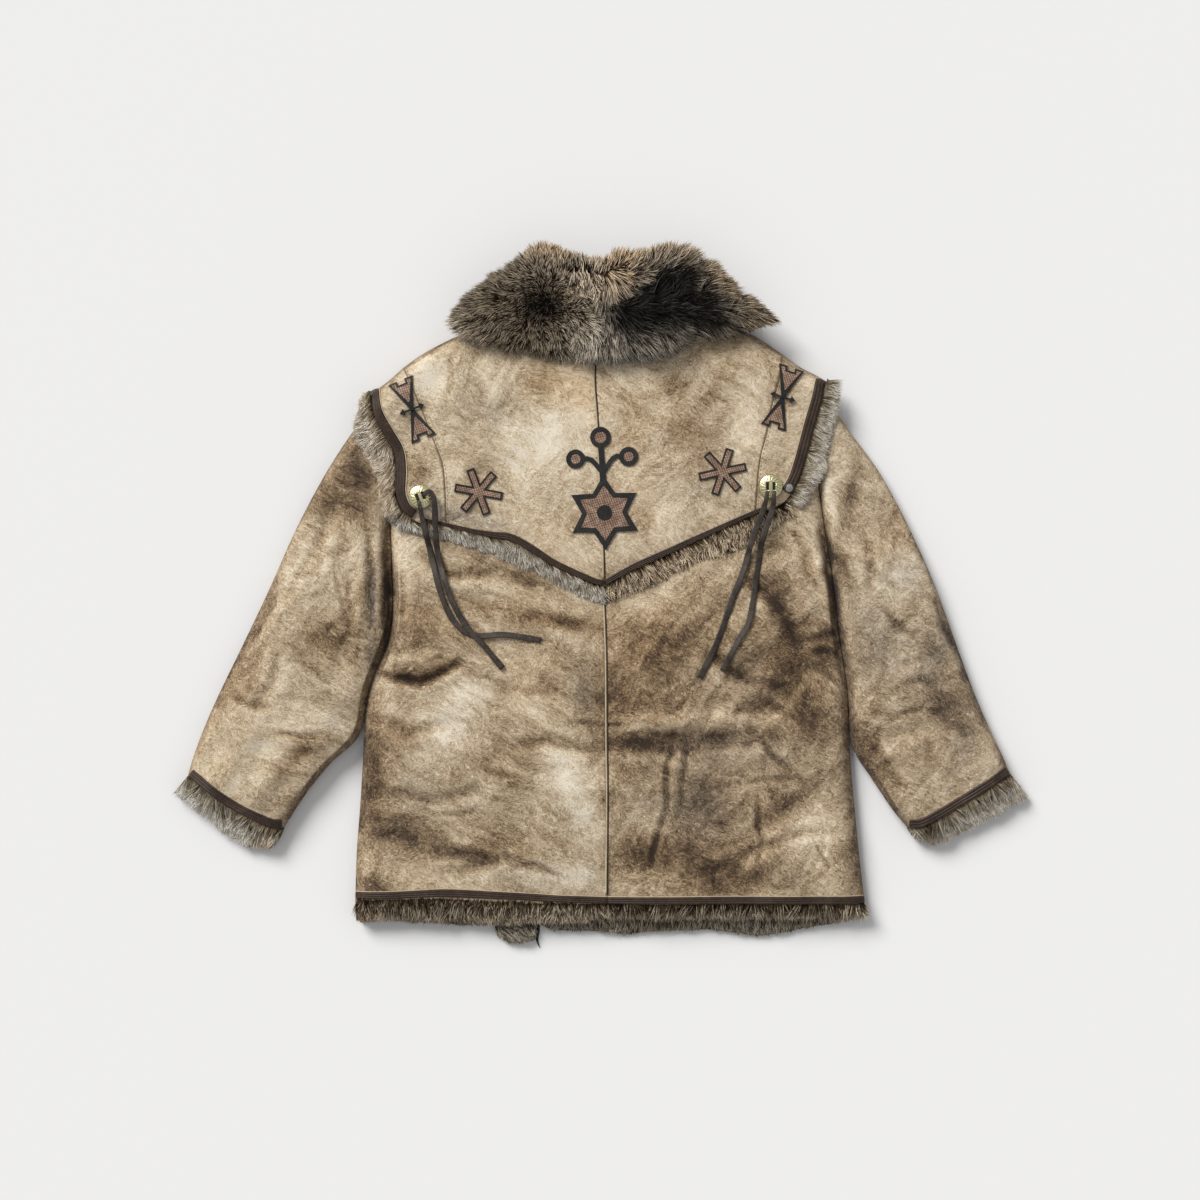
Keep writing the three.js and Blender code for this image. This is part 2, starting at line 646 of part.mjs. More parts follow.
const CUFF_BOW = { from: 0.55, over: 0.45 }; // the share of a sleeve over which its cuff's line comes in
for (const side of ["left", "right"]) {
  const sections = sleeveSections(side);
  const cuff = line(SLEEVES[side].cuff);
  const last = sections.length - 1;
  const at = (u, v) => {
    const k = Math.min(last, Math.round(v * last));
    const { inner, outer, share } = sections[k];
    const across = side === "left" ? u : 1 - u; // from the outer edge to the inner one
    const straight = { x: lerp(outer.x, inner.x, across), y: lerp(outer.y, inner.y, across) };
    const [start, end, at0] = [cuff(0), cuff(1), cuff(across)];
    const bow = smooth((share - CUFF_BOW.from) / CUFF_BOW.over);
    return {
      x: straight.x + bow * (at0.x - lerp(start.x, end.x, across)),
      y: straight.y + bow * (at0.y - lerp(start.y, end.y, across)),
    };
  };
  const sides = (from) => (side === "left" ? [from.left, from.right] : [from.right, from.left]);
  const wall = BACK_FLOOR + EDGE_WALL;
  panels[`sleeve_${side}`] = slab({
    at, columns: crowded(SLEEVE_COLUMNS, 1.5, true), rows: last,
    upper: (x, y, from) => {
      const [outer, inner] = sides(from);
      const half = (outer + inner) / 2;
      const open = BACK_TOP + openRise(x, y);
      const round = roundOff(outer, Math.min(SLEEVE_ROUND, half * SLIM))
        * roundOff(inner, Math.min(ARMHOLE_ROUND, half * SLIM));
      return wall + (open - wall) * round - HEM_DROP * (1 - roundOff(from.low, CUFF_ROUND)) * round;
    },
    level: BACK_FLOOR,
  });
  place(`sleeve_${side}_upper`, panels[`sleeve_${side}`], "suede");
  const paired = sections.map((_, k) => k / last).filter((_, k) => sections[k].inner.paired);
  place(`sleeve_${side}_under`, slab({
    at, columns: [0, 0.08, 0.5, 0.92, 1], rows: paired,
    upper: () => FRONT_TOP,
    lower: (x, y, from) => {
      const nearest = Math.min(from.left, from.right);
      return (FRONT_TOP - EDGE_WALL) * (1 - roundOff(nearest, UNDER_ROUND));
    },
  }), "suede");
}

// Yoke: two halves and two shoulder pieces. It turns down over the shoulder and covers the layers there.
const YOKE_ROUND = 9;
const YOKE_EDGE_DROP = 5;
const SHOULDER_ROUND = 26;
const SHOULDER_WALL = 4;
const FOLDS_FROM_SHOULDER = 90; // the folds fade out towards the shoulder
const NO_EDGE = 99;
const YOKE_STEP = 0.004; // share of the depth over which the floor steps up off the shoulder
const YOKE_EVEN = 0.1; // share of the depth from which the rows are even
function yokePiece(name, edges, columns, side) {
  const rows = [0, WRAP / 2, WRAP, WRAP + YOKE_STEP, WRAP * 2, YOKE_EVEN];
  for (let k = 1; k < YOKE_ROWS; k += 1) rows.push(lerp(YOKE_EVEN, 1, k / (YOKE_ROWS - 1)));
  panels[name] = slab({
    at: patch(edges), columns, rows,
    upper: (x, y, from) => {
      const open = YOKE_TOP + folded(x, y, FOLDS) * roundOff(from.top, FOLDS_FROM_SHOULDER);
      const free = Math.min(from.low, from[side] ?? NO_EDGE);
      const edge = open - YOKE_EDGE_DROP * (1 - roundOff(free, YOKE_ROUND));
      const wall = WRAP_FLOOR + SHOULDER_WALL;
      return wall + (edge - wall) * roundOff(from.top, SHOULDER_ROUND);
    },
    lower: (x, y, from, u, v) => (v <= WRAP ? WRAP_FLOOR : YOKE_FLOOR),
  });
  panels[name].userData.both = true;
  place(name, panels[name], "suede");
}
const shifted = (points, dx) => points.map((p) => ({ x: p.x + dx, y: p.y }));
yokePiece("yoke_left", {
  left: shifted(YOKE.seam.left, SEAM), right: YOKE.centre,
  top: YOKE.shoulder.left.neck, low: YOKE.edge.left,
}, YOKE_COLUMNS, "none");
yokePiece("yoke_right", {
  left: shifted(YOKE.centre, SEAM), right: YOKE.seam.right,
  top: YOKE.shoulder.right.neck, low: YOKE.edge.right,
}, YOKE_COLUMNS, "none");
yokePiece("shoulder_left", {
  left: YOKE.side.left, right: YOKE.seam.left,
  top: YOKE.shoulder.left.tip, low: YOKE.corner.left,
}, SHOULDER_COLUMNS, "left");
yokePiece("shoulder_right", {
  left: shifted(YOKE.seam.right, SEAM), right: YOKE.side.right,
  top: YOKE.shoulder.right.tip, low: YOKE.corner.right,
}, SHOULDER_COLUMNS, "right");

// Collar: long pile over a folded hide, in two hides that meet at the centre, on the under collar.
const COLLAR_ROUND = { top: 46, low: 40, tip: 90, least: 0.35 };
const COLLAR_WALL = 2;
for (const side of ["left", "right"]) {
  const { top, low } = COLLAR[side];
  const ends = { start: [low[0], top[0]], end: [low[low.length - 1], top[top.length - 1]] };
  const gap = side === "right" ? SEAM : 0;
  place(`collar_${side}`, slab({
    at: patch({
      left: shifted([ends.start[1], ends.start[0]], gap), right: shifted([ends.end[1], ends.end[0]], gap),
      top: shifted(top, gap), low: shifted(low, gap),
    }),
    columns: COLLAR_COLUMNS, rows: crowded(COLLAR_ROWS, 1.5, true),
    upper: (x, y, from) => {
      const tip = side === "left" ? from.left : from.right;
      const full = lerp(COLLAR_ROUND.least, 1, roundOff(tip, COLLAR_ROUND.tip));
      const dome = roundOff(from.top, COLLAR_ROUND.top) * roundOff(from.low, COLLAR_ROUND.low) * full;
      return COLLAR_FLOOR + COLLAR_WALL + (COLLAR_RISE + folded(x, y, COLLAR_FOLDS)) * dome;
    },
    level: COLLAR_FLOOR,
  }), "darkFur");
}
place("collar_under", slab({
  at: patch({
    left: [COLLAR.under.top[0], COLLAR.under.low[0]],
    right: [COLLAR.under.top[6], COLLAR.under.low[5]],
    top: COLLAR.under.top, low: COLLAR.under.low,
  }),
  columns: 12, rows: 3, upper: () => COLLAR_FLOOR - SEAM, level: 0,
}), "darkFur");

// Pile that stands past an edge: a strip from the edge to where the tufts end. Each kind has its
// height at the root and at the tips.
const PILE = {
  hem: { root: 25, tip: 17 }, front: { root: FRONT_TOP, tip: 5 }, cuff: { root: 22, tip: 7 },
  yoke: { root: 36.5, tip: 30, floor: 0.7, least: 2.5, around: 7 },
};
const TUFTS = { long: 1.9, short: 0.7 }; // how the tufts' lengths vary along a strip
const sloped = ({ root, tip }) => (x, y, v) => lerp(root, tip, v);
function pile({ name, root, tips, steps, rise, floor, tuft, finish, level }) {
  const [start, end] = [line(root), line(tips)];
  const at = (u, v) => {
    const [a, b] = [start(u), end(u)];
    const length = Math.hypot(b.x - a.x, b.y - a.y);
    const uneven = v * tuft * Math.sin(u * steps * TUFTS.long) * Math.sin(u * steps * TUFTS.short);
    return {
      x: lerp(a.x, b.x, v) + (uneven * (b.x - a.x)) / length,
      y: lerp(a.y, b.y, v) + (uneven * (b.y - a.y)) / length,
    };
  };
  place(name, slab({
    at, columns: steps, rows: 2, upper: (x, y, from, u, v) => rise(x, y, v),
    lower: (x, y, from, u, v) => floor(x, y, v), level,
  }), finish);
}

const away = (points, dy) => points.map((p) => ({ x: p.x, y: p.y + dy }));
const hemLine = [{ x: -307, y: HEM_Y - SEAM }, { x: 9, y: HEM_Y - SEAM }, { x: 331, y: HEM_Y - SEAM }];
pile({
  name: "hem_fur_back", root: hemLine, tips: HEM_FUR.back, steps: 36, tuft: 2, finish: "fur",
  rise: sloped(PILE.hem), level: BACK_FLOOR + 1,
});
const frontHem = FRONT_HEM_Y - SEAM;
pile({
  name: "hem_fur_front_left", tips: HEM_FUR.frontLeft, steps: 14, tuft: 2, finish: "fur",
  root: [{ x: -306, y: frontHem }, { x: -220, y: frontHem }, { x: -136, y: frontHem }],
  rise: sloped(PILE.front), level: 0,
});
pile({
  name: "hem_fur_front_right", tips: HEM_FUR.frontRight, steps: 24, tuft: 2, finish: "darkFur",
  root: [{ x: -75, y: frontHem }, { x: 120, y: frontHem }, { x: 331, y: frontHem }],
  rise: sloped(PILE.front), level: 0,
});
const CORNER_PILE = { edge: 4, middle: 13, round: 16 };
place("front_corner_fur", slab({
  at: patch({
    left: CORNER.left, right: CORNER.right, low: CORNER.low,
    top: [CORNER.left[0], CORNER.right[0]],
  }),
  columns: 7, rows: 6, level: 0,
  upper: (x, y, from) => {
    const nearest = Math.min(from.left, from.right, from.low);
    return lerp(CORNER_PILE.edge, CORNER_PILE.middle, roundOff(nearest, CORNER_PILE.round));
  },
}), "darkFur");
const { spike: cut } = CORNER;
const spike = new THREE.Shape([
  new THREE.Vector2(cut.x - 1, cut.top), new THREE.Vector2(cut.x - cut.width, cut.bend),
  new THREE.Vector2(cut.x, cut.foot), new THREE.Vector2(cut.x + 1, cut.top),
]);
place("front_corner_edge", flatPlate(spike, [], STRAP), "black");

const CUFF_GAP = 0.7;
for (const side of ["left", "right"]) {
  const inOrder = (points) => (side === "left" ? points : [...points].reverse());
  const { cuff, furTips } = SLEEVES[side];
  pile({
    name: `cuff_fur_${side}`, root: away(inOrder(cuff), -CUFF_GAP), tips: inOrder(furTips),
    steps: 22, tuft: 2.5, finish: "fur", rise: sloped(PILE.cuff), level: 0,
  });
}

const under = [panels.back_left, panels.back_right, panels.sleeve_left, panels.sleeve_right];
function yokePile(name, root, tips, steps) {
  const { root: high, tip, least, around } = PILE.yoke;
  const floor = (x, y) => Math.max(bridged(x, y, under, around), BACK_TOP) + PILE.yoke.floor;
  pile({
    name, root, tips, steps, tuft: 2, finish: "fur", floor,
    rise: (x, y, v) => Math.max(floor(x, y) + least, lerp(high, tip, v)),
  });
}
const off = 1.5; // how far the pile starts outside the yoke's edge
yokePile("yoke_fur_side_left", shifted(YOKE.side.left, -off), YOKE.sideFur.left, 16);
yokePile(
  "yoke_fur_side_right",
  shifted([...YOKE.side.right].reverse(), off), [...YOKE.sideFur.right].reverse(), 16,
);
yokePile(
  "yoke_fur_edge_left",
  away([...YOKE.corner.left, ...YOKE.edge.left.slice(1)], -off), YOKE.edgeFur.left, 26,
);
yokePile(
  "yoke_fur_edge_right",
  away([...YOKE.edge.right, ...YOKE.corner.right.slice(1)], -off), YOKE.edgeFur.right, 26,
);

// Bindings: leather strips along the edges, on the panels' own facets.
const STRAP_INSET = 0.5;
function binding({ name, edge, width, inward, steps, on, from = 0, to = 1 }) {
  const spine = line(edge);
  const at = (u, v) => {
    const t = lerp(from, to, u);
    const [a, b] = [spine(Math.max(0, t - 0.004)), spine(Math.min(1, t + 0.004))];
    const length = Math.hypot(b.x - a.x, b.y - a.y);
    const [nx, ny] = [(-(b.y - a.y) / length) * inward, ((b.x - a.x) / length) * inward];
    const p = spine(t);
    const offset = lerp(STRAP_INSET, width, inward > 0 ? 1 - v : v);
    return { x: p.x + nx * offset, y: p.y + ny * offset };
  };
  const base = (x, y) => bridged(x, y, on, BEND.strip) + LIFT; // never into the facets below
  place(name, slab({
    at, columns: crowded(steps, 1.4, true), rows: 2, upper: (x, y) => base(x, y) + STRAP, lower: base,
  }), "binding");
}
const yokePanels = [panels.yoke_left, panels.yoke_right, panels.shoulder_left, panels.shoulder_right];
binding({
  name: "hem_binding_left", width: HEM_BINDING, inward: 1, steps: 20, on: [panels.back_left],
  edge: [{ x: -305, y: HEM_Y }, { x: -150, y: HEM_Y }, { x: 8.4, y: HEM_Y }],
});
binding({
  name: "hem_binding_right", width: HEM_BINDING, inward: 1, steps: 20, on: [panels.back_right],
  edge: [{ x: 9.6, y: HEM_Y }, { x: 170, y: HEM_Y }, { x: 329, y: HEM_Y }],
});
binding({
  name: "cuff_binding_left", edge: SLEEVES.left.cuff, width: CUFF_BINDING, inward: 1, steps: 14,
  on: [panels.sleeve_left], from: 0.02, to: 0.98,
});
binding({
  name: "cuff_binding_right", edge: [...SLEEVES.right.cuff].reverse(), width: CUFF_BINDING, inward: 1,
  steps: 14, on: [panels.sleeve_right], from: 0.02, to: 0.98,
});
binding({
  name: "yoke_binding_left", edge: YOKE.side.left, width: BINDING, inward: 1, steps: 16,
  on: yokePanels, from: 0.08, to: 0.97,
});
binding({
  name: "yoke_binding_right", edge: [...YOKE.side.right].reverse(), width: BINDING, inward: 1,
  steps: 16, on: yokePanels, from: 0.03, to: 0.92,
});
binding({
  name: "yoke_binding_edge_left", edge: YOKE.edge.left, width: HEM_BINDING, inward: 1, steps: 22,
  on: yokePanels, from: 0.02, to: 0.96,
});
binding({
  name: "yoke_binding_edge_right", edge: YOKE.edge.right, width: HEM_BINDING, inward: 1, steps: 22,
  on: yokePanels, from: 0.04, to: 0.94,
});

// Applied leather: built flat, joined, and laid on the yoke's facets.
function flatPlate(shape, holes, thickness) {
  shape.holes = holes;
  const plate = new THREE.ExtrudeGeometry(shape, { depth: thickness, bevelEnabled: false });
  plate.deleteAttribute("normal");
  plate.deleteAttribute("uv");
  return mergeVertices(plate, 1e-4);
}

function toSolid(geometry) {
  return new wasm.Manifold(new wasm.Mesh({
    numProp: 3,
    vertProperties: new Float32Array(geometry.attributes.position.array),
    triVerts: new Uint32Array(geometry.index.array),
  }));
}

function toGeometry(solid) {
  const mesh = solid.getMesh();
  const geometry = new THREE.BufferGeometry();
  const positions = [];
  for (let k = 0; k < mesh.numVert; k += 1) {
    for (let axis = 0; axis < 3; axis += 1) positions.push(mesh.vertProperties[k * mesh.numProp + axis]);
  }
  geometry.setAttribute("position", new THREE.Float32BufferAttribute(positions, 3));
  geometry.setIndex([...mesh.triVerts]);
  return geometry;
}

function laid(name, geometry, on, lift, finish) {
  const p = geometry.attributes.position;
  for (let k = 0; k < p.count; k += 1) {
    p.setZ(k, p.getZ(k) + bridged(p.getX(k), p.getY(k), on, BEND.shape) + lift);
  }
  place(name, geometry, finish);
}

// An outline with a point at least every few millimetres, so that it can bend with the panel.
const STEP = 13;
const FINE_STEP = 5; // where the panel rounds away
function outline(points, step = STEP) {
  const made = [];
  points.forEach((p, k) => {
    const q = points[(k + 1) % points.length];
    const pieces = Math.max(1, Math.ceil(Math.hypot(q.x - p.x, q.y - p.y) / step));
    for (let n = 0; n < pieces; n += 1) {
      made.push(new THREE.Vector2(lerp(p.x, q.x, n / pieces), lerp(p.y, q.y, n / pieces)));
    }
  });
  return made;
}

function polar(centre, radius, degrees) {
  return {
    x: centre.x + radius * Math.cos(radians(degrees)),
    y: centre.y + radius * Math.sin(radians(degrees)),
  };
}

function starPoints(radius, valley) {
  const points = [];
  for (let k = 0; k < 6; k += 1) {
    points.push(polar(STAR, radius, STAR.tilt + 60 * k));
    points.push(polar(STAR, valley, STAR.tilt + 60 * k + 30));
  }
  return points;
}

function disc(centre, radius) {
  return stations(ROUND_SIDES).slice(1).map((t) => {
    const p = polar(centre, radius, 360 * t);
    return new THREE.Vector2(p.x, p.y);
  });
}

const plateOf = (points, holes = []) =>
  flatPlate(new THREE.Shape(points), holes.map((hole) => new THREE.Path(hole)), APPLIQUE);

// A bar of leather along a bent line, for the stem and its branches.
const BAR_STEPS = 6;
function bar(points, width) {
  const spine = line(points);
  const sides = [[], []];
  for (const t of stations(BAR_STEPS)) {
    const [a, b] = [spine(Math.max(0, t - 0.01)), spine(Math.min(1, t + 0.01))];
    const length = Math.hypot(b.x - a.x, b.y - a.y);
    const [nx, ny] = [-(b.y - a.y) / length, (b.x - a.x) / length];
    const p = spine(t);
    sides[0].push(new THREE.Vector2(p.x - (nx * width) / 2, p.y - (ny * width) / 2));
    sides[1].unshift(new THREE.Vector2(p.x + (nx * width) / 2, p.y + (ny * width) / 2));
  }
  return plateOf([...sides[0], ...sides[1]]);
}

function starAndRings() {
  const starTop = polar(STAR, STAR.radius, STAR.tilt);
  const inner = { radius: STAR.radius - STAR.width * 2, valley: STAR.valley - STAR.width };
  const [topRing, ...sideRings] = RINGS;
  const fork = { x: lerp(starTop.x, topRing.x, STEM.forkShare), y: STEM.forkY };
  const foot = { x: starTop.x, y: starTop.y - STEM.intoStar };
  const bodies = [
    plateOf(outline(starPoints(STAR.radius, STAR.valley))),
    bar([foot, fork, { x: topRing.x, y: topRing.y - STEM.intoRing }], STEM.width),
  ];
  for (const ring of RINGS) bodies.push(plateOf(disc(ring, ring.radius)));
  for (const ring of sideRings) {
    const inside = { x: ring.x - Math.sign(ring.x - fork.x) * STEM.intoRing, y: ring.y };
    const bend = { x: lerp(fork.x, ring.x, STEM.sag), y: ring.y - 1 };
    const start = { x: fork.x, y: fork.y - STEM.branchWidth / 2 };
    bodies.push(bar([start, bend, inside], STEM.branchWidth));
  }
  let frame = bodies.map(toSolid).reduce((all, one) => all.add(one));
  frame = frame.subtract(toSolid(plateOf(outline(starPoints(inner.radius, inner.valley)))));
  for (const ring of RINGS) frame = frame.subtract(toSolid(plateOf(disc(ring, ring.hole))));
  laid("star_outline", toGeometry(frame), yokePanels, LIFT, "black");
  const clear = (value) => value - SEAM;
  laid("star_inlay", plateOf(
    outline(starPoints(clear(inner.radius) - SEAM, clear(inner.valley))), [disc(STAR, STAR.hub + SEAM)],
  ), yokePanels, LIFT, "inlay");
  laid("star_hub", plateOf(disc(STAR, STAR.hub)), yokePanels, LIFT, "black");
  for (const ring of RINGS) {
    laid(`ring_inlay_${ring.name}`, plateOf(disc(ring, clear(ring.hole))), yokePanels, LIFT, "inlay");
  }
}
starAndRings();

function barShape(centre, radius, width, degrees) {
  const along = polar({ x: 0, y: 0 }, radius, degrees);
  const across = polar({ x: 0, y: 0 }, width / 2, degrees + 90);
  return outline([
    { x: centre.x + along.x - across.x, y: centre.y + along.y - across.y },
    { x: centre.x + along.x + across.x, y: centre.y + along.y + across.y },
    { x: centre.x - along.x + across.x, y: centre.y - along.y + across.y },
    { x: centre.x - along.x - across.x, y: centre.y - along.y - across.y },
  ]);
}

function asterisk(side) {
  const spot = ASTERISKS[side];
  const crossed = (inset) => {
    const bars = stations(ASTERISK.bars).slice(1).map((t) => toSolid(plateOf(barShape(
      spot, ASTERISK.radius - inset, ASTERISK.width - 2 * inset, spot.tilt + 180 * t,
    ))));
    return bars.reduce((all, one) => all.add(one));
  };
  const frame = crossed(0).subtract(crossed(OUTLINE));
  laid(`asterisk_outline_${side}`, toGeometry(frame), yokePanels, LIFT, "black");
  laid(`asterisk_inlay_${side}`, toGeometry(crossed(OUTLINE + SEAM)), yokePanels, LIFT, "inlay");
}

// Two notched triangles, tip to tip, with an arrow across the waist.
function hourglass(side) {
  const spot = HOURGLASSES[side];
  const turn = (along, across) => {
    const a = polar({ x: 0, y: 0 }, along, spot.tilt);
    const b = polar({ x: 0, y: 0 }, across, spot.tilt - 90);
    return { x: spot.x + a.x + b.x, y: spot.y + a.y + b.y };
  };
  const { height, base, waist, notch, notchDepth, slant, inlayFrom, inlayTip } = HOURGLASS;
  const half = (sign, inset) => {
    const [top, wide] = [height - inset, base / 2 - inset * slant];
    const point = inset ? inlayFrom + inset * slant : 0;
    const narrow = inset ? inlayTip : waist / 2;
    const cut = notch / 2 + inset;
    const corners = [
      [point, -narrow], [top, -wide], [top, -cut], [top - notchDepth, -cut],
      [top - notchDepth, cut], [top, cut], [top, wide], [point, narrow],
    ];
    return corners.map(([along, across]) => turn(sign * along, sign * across));
  };
  const solid = (sign, inset) => toSolid(plateOf(outline(half(sign, inset).reverse(), FINE_STEP)));
  const whole = solid(1, 0).add(solid(-1, 0));
  const frame = whole.subtract(solid(1, OUTLINE)).subtract(solid(-1, OUTLINE));
  laid(`hourglass_outline_${side}`, toGeometry(frame), yokePanels, LIFT, "black");
  laid(`hourglass_inlay_upper_${side}`, toGeometry(solid(1, OUTLINE + SEAM)), yokePanels, LIFT, "inlay");
  laid(`hourglass_inlay_lower_${side}`, toGeometry(solid(-1, OUTLINE + SEAM)), yokePanels, LIFT, "inlay");
  const [reach, shaft, head, neck] = [
    ARROW.length / 2, ARROW.shaft / 2, ARROW.head / 2, ARROW.length / 2 - ARROW.headLength,
  ];
  const arrow = [
    turn(shaft, -neck), turn(head, -neck - 1), turn(0, -reach), turn(-head, -neck - 1),
    turn(-shaft, -neck), turn(-shaft, neck), turn(-head, neck + 1), turn(0, reach),
    turn(head, neck + 1), turn(shaft, neck),
  ];
  laid(`hourglass_arrow_${side}`, plateOf(outline(arrow)), yokePanels, LIFT + APPLIQUE + SEAM, "black");
}

for (const side of ["left", "right"]) {
  asterisk(side);
  hourglass(side);
}

// Conchos: domed discs with two slots for the thong. The section runs from the axis out along the
// underside to the rim and back over the top.
const SHEET = 1.2; // thickness of the metal
const CONCHO_SECTION = [
  { r: 0, z: CONCHO_DOME - SHEET }, { r: 9, z: CONCHO_DOME - SHEET - 0.6 },
  { r: CONCHO_RADIUS - 2, z: 0 }, { r: CONCHO_RADIUS, z: 0 },
  { r: CONCHO_RADIUS, z: SHEET }, { r: CONCHO_RADIUS - 2, z: SHEET + 0.2 },
  { r: 9, z: CONCHO_DOME - 0.4 }, { r: 0, z: CONCHO_DOME },
];
const CONCHO_SEAT = 0.7; // share of its radius that rests on the panel
const conchoTop = {};
for (const side of ["left", "right"]) {
  const { x, y } = CONCHOS[side];
  const section = CONCHO_SECTION.map(({ r, z }) => new THREE.Vector2(r, z));
  const dome = new THREE.LatheGeometry(section, ROUND_SIDES);
  dome.rotateX(Math.PI / 2);
  dome.deleteAttribute("normal");
  dome.deleteAttribute("uv");
  let solid = toSolid(mergeVertices(dome, 1e-3));
  for (const sign of [-1, 1]) {
    const slot = new THREE.BoxGeometry(SLOT.width, SLOT.length, SLOT.depth);
    slot.translate((sign * SLOT.apart) / 2, 0, 0);
    slot.deleteAttribute("normal");
    slot.deleteAttribute("uv");
    solid = solid.subtract(toSolid(mergeVertices(slot, 1e-4)));
  }
  const base = bridged(x, y, yokePanels, CONCHO_RADIUS * CONCHO_SEAT) + LIFT + STRAP + SEAM;
  const geometry = toGeometry(solid);
  geometry.translate(x, y, base);
  place(`concho_${side}`, geometry, "concho");
  conchoTop[side] = base + CONCHO_DOME;
}

// Thongs: flat laces that lie over the concho's rim, the binding and the pile, on to the back.
const LIES = {
  around: 4, // how far a lace looks for what it rests on
  onHide: 0.6, onPile: 2.6, onConcho: 0.5, // how far it lies over each
  pileTop: 39.5, pileReach: 34, rimReach: 5, // the pile's top, and how far it and the rim hold it up
  easing: 30, // the run over which it comes down
};
function thong({ name, side, over: lift, downTo, points }) {
  const spine = line(points);
  const { steps } = THONG;
  const below = [...under, ...yokePanels];
  const heights = stations(steps).map((t) => {
    const p = spine(t);
    const fromConcho = Math.hypot(p.x - CONCHOS[side].x, p.y - CONCHOS[side].y);
    const overConcho = fromConcho < CONCHO_RADIUS + LIES.rimReach;
    const overPile = p.y > yokePoint(p.x) - LIES.pileReach;
    const base = bridged(p.x, p.y, below, LIES.around) + (overPile ? LIES.onPile : LIES.onHide);
    return Math.max(
      base, overConcho ? conchoTop[side] + LIES.onConcho : 0, overPile ? LIES.pileTop : 0,
    );
  });
  const eased = heights.map((z, k) => {
    const [a, b] = [heights[Math.max(0, k - 1)], heights[Math.min(steps, k + 1)]];
    const lifted = lift * smooth((spine(k / steps).y - downTo) / LIES.easing);
    return Math.max(z, (a + b) / 2) + lifted;
  });
  const middle = (u) => {
    const k = Math.min(steps - 1, Math.floor(u * steps));
    return lerp(eased[k], eased[k + 1], u * steps - k) + THONG.thickness / 2;
  };
  const at = (u, v) => {
    const [a, b] = [spine(u - 0.01), spine(u + 0.01)];
    const length = Math.hypot(b.x - a.x, b.y - a.y);
    const p = spine(u);
    const offset = (0.5 - v) * THONG.width;
    return { x: p.x - (offset * (b.y - a.y)) / length, y: p.y + (offset * (b.x - a.x)) / length };
  };
  const bulge = (v) => (THONG.thickness / 2) * (v === 0.5 ? 1 : THONG.edge);
  place(`thong_${name}`, slab({
    at, columns: steps, rows: 2,
    upper: (x, y, from, u, v) => middle(u) + bulge(v),
    lower: (x, y, from, u, v) => middle(u) - bulge(v),
  }), "thong");
}
for (const row of THONGS) thong(row);

export default jacket;
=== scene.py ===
# %% [markdown]
# A shearling jacket lies face down on a pale floor, and we look straight down at its back. The packed
# model is the frame: it gives every panel's real size and place. Each cell below dresses a part of it.
# X runs to the wearer's right, Y towards the collar and Z up, all in metres.

import bmesh
import bpy
import numpy as np
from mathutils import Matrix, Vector
from mathutils.bvhtree import BVHTree


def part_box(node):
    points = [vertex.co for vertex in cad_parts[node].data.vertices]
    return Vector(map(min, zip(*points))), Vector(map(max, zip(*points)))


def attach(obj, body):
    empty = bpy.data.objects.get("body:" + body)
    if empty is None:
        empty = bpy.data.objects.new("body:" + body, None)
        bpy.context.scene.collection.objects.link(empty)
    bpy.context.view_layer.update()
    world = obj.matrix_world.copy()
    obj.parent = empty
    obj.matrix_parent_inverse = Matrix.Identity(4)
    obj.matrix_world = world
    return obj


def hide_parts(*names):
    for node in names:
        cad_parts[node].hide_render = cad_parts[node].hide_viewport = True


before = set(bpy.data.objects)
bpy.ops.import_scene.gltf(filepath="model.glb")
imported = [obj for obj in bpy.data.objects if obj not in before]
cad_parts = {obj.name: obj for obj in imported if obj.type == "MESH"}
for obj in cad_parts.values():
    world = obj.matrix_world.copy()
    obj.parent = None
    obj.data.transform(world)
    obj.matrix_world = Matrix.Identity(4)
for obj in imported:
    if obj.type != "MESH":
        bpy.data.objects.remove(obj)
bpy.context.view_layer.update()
MM = 0.001
dice = np.random.default_rng(11)
print("nodes in the frame:", len(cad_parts))

# %% [markdown]
# The photograph was taken from straight above with a long lens, so the jacket hardly shows its sides.
# The camera hangs where an 85 mm lens takes in one and a half metres of floor.

# %% Camera
LENS = 85
SENSOR = 36
PIXEL = 1.25 * MM
VIEW = 1200 * PIXEL
PICTURE_MIDDLE = (-0.5 * PIXEL, -4.5 * PIXEL)
BACK_HEIGHT = 30 * MM

camera = bpy.data.objects.new("camera", bpy.data.cameras.new("camera"))
camera.data.lens = LENS
camera.data.sensor_width = SENSOR
camera.location = (*PICTURE_MIDDLE, BACK_HEIGHT + VIEW * LENS / SENSOR)
bpy.context.collection.objects.link(camera)
bpy.context.scene.camera = camera
print("camera height", round(camera.location.z, 3))

# %% [markdown]
# The light is a plain studio's: a pale dome that fills every fold, and one broad soft light from the
# collar's side, which gives each crease a bright and a dark bank. The floor is matt and nearly white.

# %% Light and floor
DOME = 0.45
DOME_COLOUR = (0.97, 0.98, 1, 1)
KEY = 3.26
KEY_ANGLE = 0.5
KEY_FROM = Vector((-0.62, 0.78, 0.76))

scene = bpy.context.scene
scene.view_settings.view_transform = "Standard"
scene.world = bpy.data.worlds.new("dome")
scene.world.use_nodes = True
background = scene.world.node_tree.nodes["Background"].inputs
background["Color"].default_value = DOME_COLOUR
background["Strength"].default_value = DOME

key = bpy.data.objects.new("key", bpy.data.lights.new("key", "SUN"))
key.data.energy = KEY
key.data.angle = KEY_ANGLE
key.rotation_euler = KEY_FROM.to_track_quat("Z", "Y").to_euler()
bpy.context.collection.objects.link(key)

